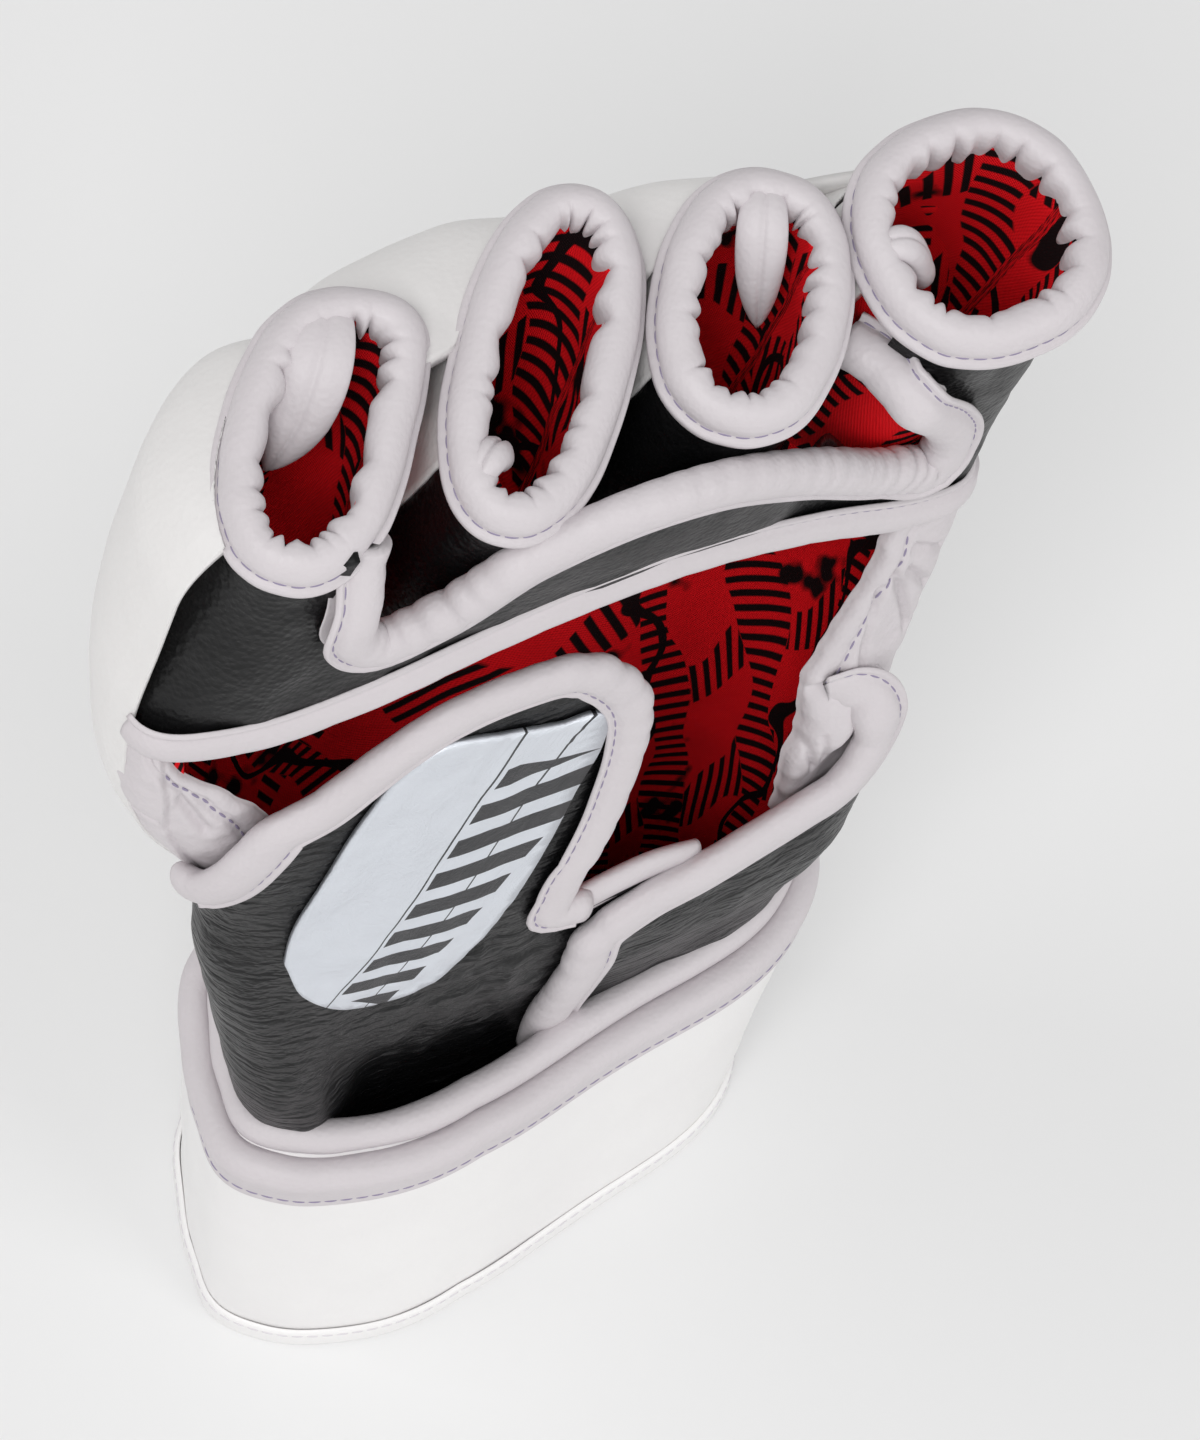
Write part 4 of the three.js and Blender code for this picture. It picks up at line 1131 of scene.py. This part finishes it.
# Wrist strap: smooth white hide on webbing, wound twice round the wrist and closed by its tab at
# the back. Both turns have a rolled upper edge, and the outer one has a turned-up hem.
strap_hide = leather("smooth coated white leather", "#f4f3f2", "#edebeb", 0.6, 0.12, 0.42, 12.0, 0.3)
WRAP = np.array(
    [[0, -0.4, 39.1, 5.5, 23, 22.5], [30, 1, 41, 5.5, 23, 22.5], [57, 2.4, 42.7, 5.5, 23, 22.5]], float
)
WRAP_POWER = 2.8
STRAP = 2.4
STRAP_HEIGHT = 57.0


def wrap(deg, z, out):
    """The strap's oval, flatter across the front and set out at the little finger side."""
    points = oval(WRAP, WRAP_POWER, deg, z, out)
    x = points[..., 0]
    drawn = 0.1 * (x + 15.0) + 0.14 * np.minimum(x + 12.0, 0) + 2.6 * bell(x, 12.0, 18.0)
    points[..., 1] += drawn * ease((18.0 - points[..., 1]) / 26.0)
    points[..., 0] -= 3.2 * bell(np.asarray(deg, float), 187.0, 12.0)
    points[..., 1] += 2.0 * bell(np.asarray(deg, float), 224.0, 24.0)
    return points


degs = np.arange(0, 360, 2.0)
for name, node, outer, inner, low, high in (
    ("outer_strap_leather", "outer_strap", 0.0, -STRAP, 0.0, 53.0),
    ("inner_strap_leather", "inner_strap", -STRAP - 0.3, -STRAP - 1.9, 3.0, 56.0),
):
    deg_grid, z_grid = np.meshgrid(degs, np.linspace(low, high, 44))
    form = wrap(deg_grid, z_grid, outer)
    calm = np.clip((z_grid - low) / 6, 0, 1) * np.clip((high - z_grid) / 10, 0, 1)
    soft_out = outer + calm * (0.45 * rumple(form, 20.0, 77.0) + 0.12 * rumple(form, 6.0, 7.0))
    points, faces = two_sided(wrap(deg_grid, z_grid, soft_out), wrap(deg_grid, z_grid, inner), True)
    turn_of_strap = new_piece(name, points, faces, strap_hide)
    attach(turn_of_strap, "root")
    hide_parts(node)

for name, node, z, out, size, seed in (
    ("outer_strap_edge_roll", "outer_strap_binding", STRAP_HEIGHT - ROLL, ROLL - STRAP - 1.2, 2.3, 5.0),
    ("inner_strap_edge_roll", "inner_strap_binding", STRAP_HEIGHT + 1.3, -STRAP - 0.3 - 2.0, 2.1, 6.0),
):
    turns = np.linspace(0, 360, 360, endpoint=False)
    path = wrap(turns, z, out)
    up = np.tile([0.0, 0.0, 1.0], (len(turns), 1))
    section = np.array([
        (1.0, -3.4), (1.6, -3.5), (1.75, -2.9), (1.5, -2.3), (2.2, -1.3), (2.3, 0.2), (1.7, 1.5),
        (0.4, 2.2), (-0.9, 2.0), (-1.9, 1.2), (-2.3, -0.1), (-2.1, -1.4), (-1.7, -3.0), (-1.0, -3.0),
        (-0.6, -1.2), (0.5, -1.2),
    ]) * size / 2.3
    if node == "outer_strap_binding":
        section[:4] = [(0.9, -6.6), (1.45, -6.8), (1.75, -6.0), (1.55, -5.2)]
    circle = np.stack([np.cos(np.radians(turns)), np.sin(np.radians(turns)), 0 * turns], -1)
    sections = np.tile(section, (len(turns), 1, 1))
    sections[:, 4:12] *= (1 + 0.07 * rumple(circle, 0.22, seed))[:, None, None]
    fine = np.stack([dense(s, 32) for s in sections])
    rim, skin = swept(name, path, up, fine, trim_hide, closed=True)
    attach(rim, "root")
    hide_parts(node)
    groove = int(round(3 * 32 / len(section)))
    seams["trim"].append(np.vstack([skin[:, groove], skin[:1, groove]]))


# Binding ends: where the strip closes its ring, the spare end is folded lengthwise and tucked into
# the opening: two loose tails and two short knots.
TAIL_SECTION = np.array([
    (-1, 0), (-0.96, 0.45), (-0.6, 0.9), (-0.2, 0.97), (-0.04, 0.8), (0.2, 1.0), (0.62, 0.85),
    (0.97, 0.4), (1, -0.05), (0.7, -0.45), (0.1, -0.25), (-0.7, -0.4),
])
for finger, name, angle, reach, drop, wide, thick, stub, lean in (
    ("little", "little_tail", 70, 12, 13, 5.0, 1.5, False, 0.9),
    ("ring", "ring_knot", 200, 4.4, 3.4, 2.7, 2.1, True, 0.0),
    ("middle", "middle_tail", 62, 9, 13, 3.7, 1.5, False, -0.2),
    ("index", "index_tail", 172, 4.6, 8, 3.0, 1.8, True, 0.2),
):
    x, y = FINGERS[finger]["ring"][:2]
    start = ring_point(finger, angle, -2 * ROLL + 1.2)
    inward = np.array([x, y, RING_HEIGHT]) - start
    inward[2] = 0
    inward /= np.linalg.norm(inward)
    across = np.cross(inward, [0, 0, 1.0])
    s = np.linspace(0, 1, 60)[:, None]
    path = (
        start + inward * reach * np.sin(1.5 * s) + across * lean * 6 * s**2
        + np.array([0, 0, 1.0]) * (1.6 * np.sin(np.minimum(s * 5, math.pi)) * 0.6 - drop * s * s)
    )
    up = np.array([0, 0, 1.0]) + inward * s * 1.5
    width = wide * (0.55 + 0.9 * s[:, 0] - 0.75 * s[:, 0] ** 2)
    if stub:
        width = width * np.sqrt(np.clip(1 - (s[:, 0] * 1.02) ** 6, 0.02, 1))
    else:
        width = width * np.sqrt(np.clip(1 - s[:, 0] ** 10, 0.12, 1)) * (1 - 0.62 * s[:, 0] ** 3)
    sections = np.tile(TAIL_SECTION, (60, 1, 1))
    sections[..., 0] *= width[:, None]
    heft = thick * (0.8 + 0.4 * s[:, 0]) * np.sqrt(np.clip(1 - s[:, 0] ** 8, 0.1, 1))
    sections[..., 1] *= heft[:, None]
    fine = np.stack([dense(one, 30) for one in sections])
    tail, skin = swept(name + "_strip", path, up, fine, trim_hide)
    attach(tail, "root")
    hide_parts(name)


# Hem and closing tab of the strap: the hem is a narrow turn-up along the lower edge, and the tab,
# with its hook tape inside, lies closed on the strap at the back of the wrist.
turns = np.linspace(0, 360, 300, endpoint=False)
hem_section = np.array(
    [(0.2, 0.05), (0.75, 0.1), (0.95, 0.7), (0.9, 2.6), (0.8, 3.5), (0.4, 3.9), (0.1, 3.7), (0.1, 1.5)]
)
path = wrap(turns, 0.0, 0.0)
up = np.tile([0.0, 0.0, 1.0], (len(turns), 1))
fine = np.stack([dense(hem_section, 20)] * len(turns))
hem, skin = swept("strap_hem_fold", path, up, fine, strap_hide, closed=True)
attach(hem, "root")
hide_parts("outer_strap_hem")
seams["cloth"].append(np.vstack([skin[:, 9], skin[:1, 9]]))

TAB_FROM = 62.0
TAB_TO = 112.0
TAB_LOW = 5.0
TAB_HIGH = 50.0
TAB_THICK = 2.2
TAB_CORNER = 6.0
TAB_SEAM = 2.6
TAB_MM = 0.75
left = TAB_FROM * TAB_MM
right_end = TAB_TO * TAB_MM
outline = []
for cx, cy, begin in (
    (right_end - TAB_CORNER, TAB_HIGH - TAB_CORNER, 0),
    (left + TAB_CORNER, TAB_HIGH - TAB_CORNER, 90),
    (left + TAB_CORNER, TAB_LOW + TAB_CORNER, 180),
    (right_end - TAB_CORNER, TAB_LOW + TAB_CORNER, 270),
):
    for step in range(0, 91, 15):
        bend = math.radians(begin + step)
        outline.append((cx + TAB_CORNER * math.cos(bend), cy + TAB_CORNER * math.sin(bend)))
outline = np.array(outline)


def tab_skin(u, v, side):
    edge = np.minimum.reduce([u - left, right_end - u, v - TAB_LOW, TAB_HIGH - v])
    dome = TAB_THICK * (0.72 + 0.28 * ease(edge / 2.0)) - 0.25 * bell(edge, 2.6, 0.5)
    form = wrap(u / TAB_MM, v, 0.3)
    out = np.where(side, 0.3 + dome + 0.25 * rumple(form, 14.0, 90.0), 0.3)
    return wrap(u / TAB_MM, v, out)


tab = panel("strap_tab_leather", outline, 1.2, tab_skin, strap_hide)
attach(tab, "root")
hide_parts("strap_tab")
middle = outline.mean(0)
shrink = 1 - 2 * TAB_SEAM / np.array([right_end - left, TAB_HIGH - TAB_LOW])
inset = (outline - middle) * shrink + middle
loop = np.vstack([inset, inset[:1]])
seams["trim"].append(wrap(loop[:, 0] / TAB_MM, loop[:, 1], 0.3 + TAB_THICK - 0.1))


# Stitches: lilac-grey polyester thread, five stitches to the centimetre, sunk in each groove.
def yarn(name, colour, rough):
    made, skin = new_material(name)
    skin.inputs["Base Color"].default_value = from_srgb(colour)
    skin.inputs["Roughness"].default_value = rough
    return made


trim_thread = yarn("lilac-grey polyester thread", "#8f86a0", 0.5)
red_thread = yarn("red cotton thread", "#ff3a3a", 0.8)
white_thread = yarn("white polyester thread", "#dcd8dc", 0.5)
STITCH_PITCH = 2.0
STITCH_LENGTH = 1.6
THREAD_RADIUS = 0.17

row_tree = bpy.data.node_groups.new("row of stitches", "GeometryNodeTree")
row_tree.interface.new_socket("Geometry", in_out="INPUT", socket_type="NodeSocketGeometry")
sockets = {}
for label in ("Pitch", "Stitch length", "Thread radius"):
    sockets[label] = row_tree.interface.new_socket(
        label, in_out="INPUT", socket_type="NodeSocketFloat"
    ).identifier
sockets["Thread"] = row_tree.interface.new_socket(
    "Thread", in_out="INPUT", socket_type="NodeSocketMaterial"
).identifier
row_tree.interface.new_socket("Geometry", in_out="OUTPUT", socket_type="NodeSocketGeometry")


def row_node(kind, settings=None, links=None):
    node = row_tree.nodes.new(kind)
    for key, value in (settings or {}).items():
        setattr(node, key, value)
    for key, source in (links or {}).items():
        row_tree.links.new(source, node.inputs[key])
    return node


given = row_node("NodeGroupInput")
drawn = row_node("GeometryNodeMeshToCurve", None, {"Mesh": given.outputs["Geometry"]})
spaced = row_node(
    "GeometryNodeResampleCurve", {"mode": "LENGTH"},
    {"Curve": drawn.outputs[0], "Length": given.outputs["Pitch"]}
)
bead = row_node("GeometryNodeMeshUVSphere")
bead.inputs["Segments"].default_value = 7
bead.inputs["Rings"].default_value = 6
bead.inputs["Radius"].default_value = 1.0
half = row_node("ShaderNodeMath", {"operation": "MULTIPLY"}, {0: given.outputs["Stitch length"]})
half.inputs[1].default_value = 0.5
shape = row_node(
    "ShaderNodeCombineXYZ", None,
    {"X": given.outputs["Thread radius"], "Y": given.outputs["Thread radius"], "Z": half.outputs[0]}
)
along = row_node("GeometryNodeInputTangent")
facing = row_node("FunctionNodeAlignRotationToVector", {"axis": "Z"}, {"Vector": along.outputs[0]})
sewn = row_node("GeometryNodeInstanceOnPoints", None, {
    "Points": spaced.outputs[0], "Instance": bead.outputs["Mesh"], "Rotation": facing.outputs[0],
    "Scale": shape.outputs[0],
})
loose = row_node("GeometryNodeRealizeInstances", None, {0: sewn.outputs[0]})
dyed = row_node(
    "GeometryNodeSetMaterial", None, {"Geometry": loose.outputs[0], "Material": given.outputs["Thread"]}
)
row_node("NodeGroupOutput", None, {0: dyed.outputs[0]})


def stitch_rows(name, rows, pitch, length, radius, thread):
    points = []
    edges = []
    for row in rows:
        edges += [(len(points) + k, len(points) + k + 1) for k in range(len(row) - 1)]
        points += to_frame(row).tolist()
    lines = bpy.data.meshes.new(name + "_line")
    lines.from_pydata(points, edges, [])
    holder = bpy.data.objects.new(name + "_line", lines)
    scene.collection.objects.link(holder)
    modifier = holder.modifiers.new("stitches", "NODES")
    modifier.node_group = row_tree
    modifier[sockets["Pitch"]] = pitch / 1000
    modifier[sockets["Stitch length"]] = length / 1000
    modifier[sockets["Thread radius"]] = radius / 1000
    modifier[sockets["Thread"]] = thread
    bpy.context.view_layer.update()
    made = bpy.data.meshes.new_from_object(holder.evaluated_get(bpy.context.evaluated_depsgraph_get()))
    bpy.data.objects.remove(holder)
    made.polygons.foreach_set("use_smooth", [True] * len(made.polygons))
    if not made.materials:
        made.materials.append(thread)
    piece = bpy.data.objects.new(name, made)
    scene.collection.objects.link(piece)
    return piece


across = np.linspace(20.0, 178.0, 140)
pleat_rows = []
for seam, lean in PLEATS:
    place = np.stack([across, 0 * across, 0 * across + seam], -1)
    level = seam - lean * (across - 90.0) + 0.35 * rumple(place, 9.0, seam)
    pleat_rows.append(hand(across, level, 0.45))
for name, rows, length, radius, thread, slot in (
    ("binding_stitches", seams["trim"], STITCH_LENGTH, THREAD_RADIUS, trim_thread, "trim"),
    ("hem_stitches", seams["cloth"], STITCH_LENGTH, 0.15, white_thread, "strap_leather"),
    ("lining_stitches", pleat_rows, STITCH_LENGTH, 0.16, red_thread, "lining"),
):
    stitches = stitch_rows(name, rows, STITCH_PITCH, length, radius, thread)
    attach(stitches, "root")
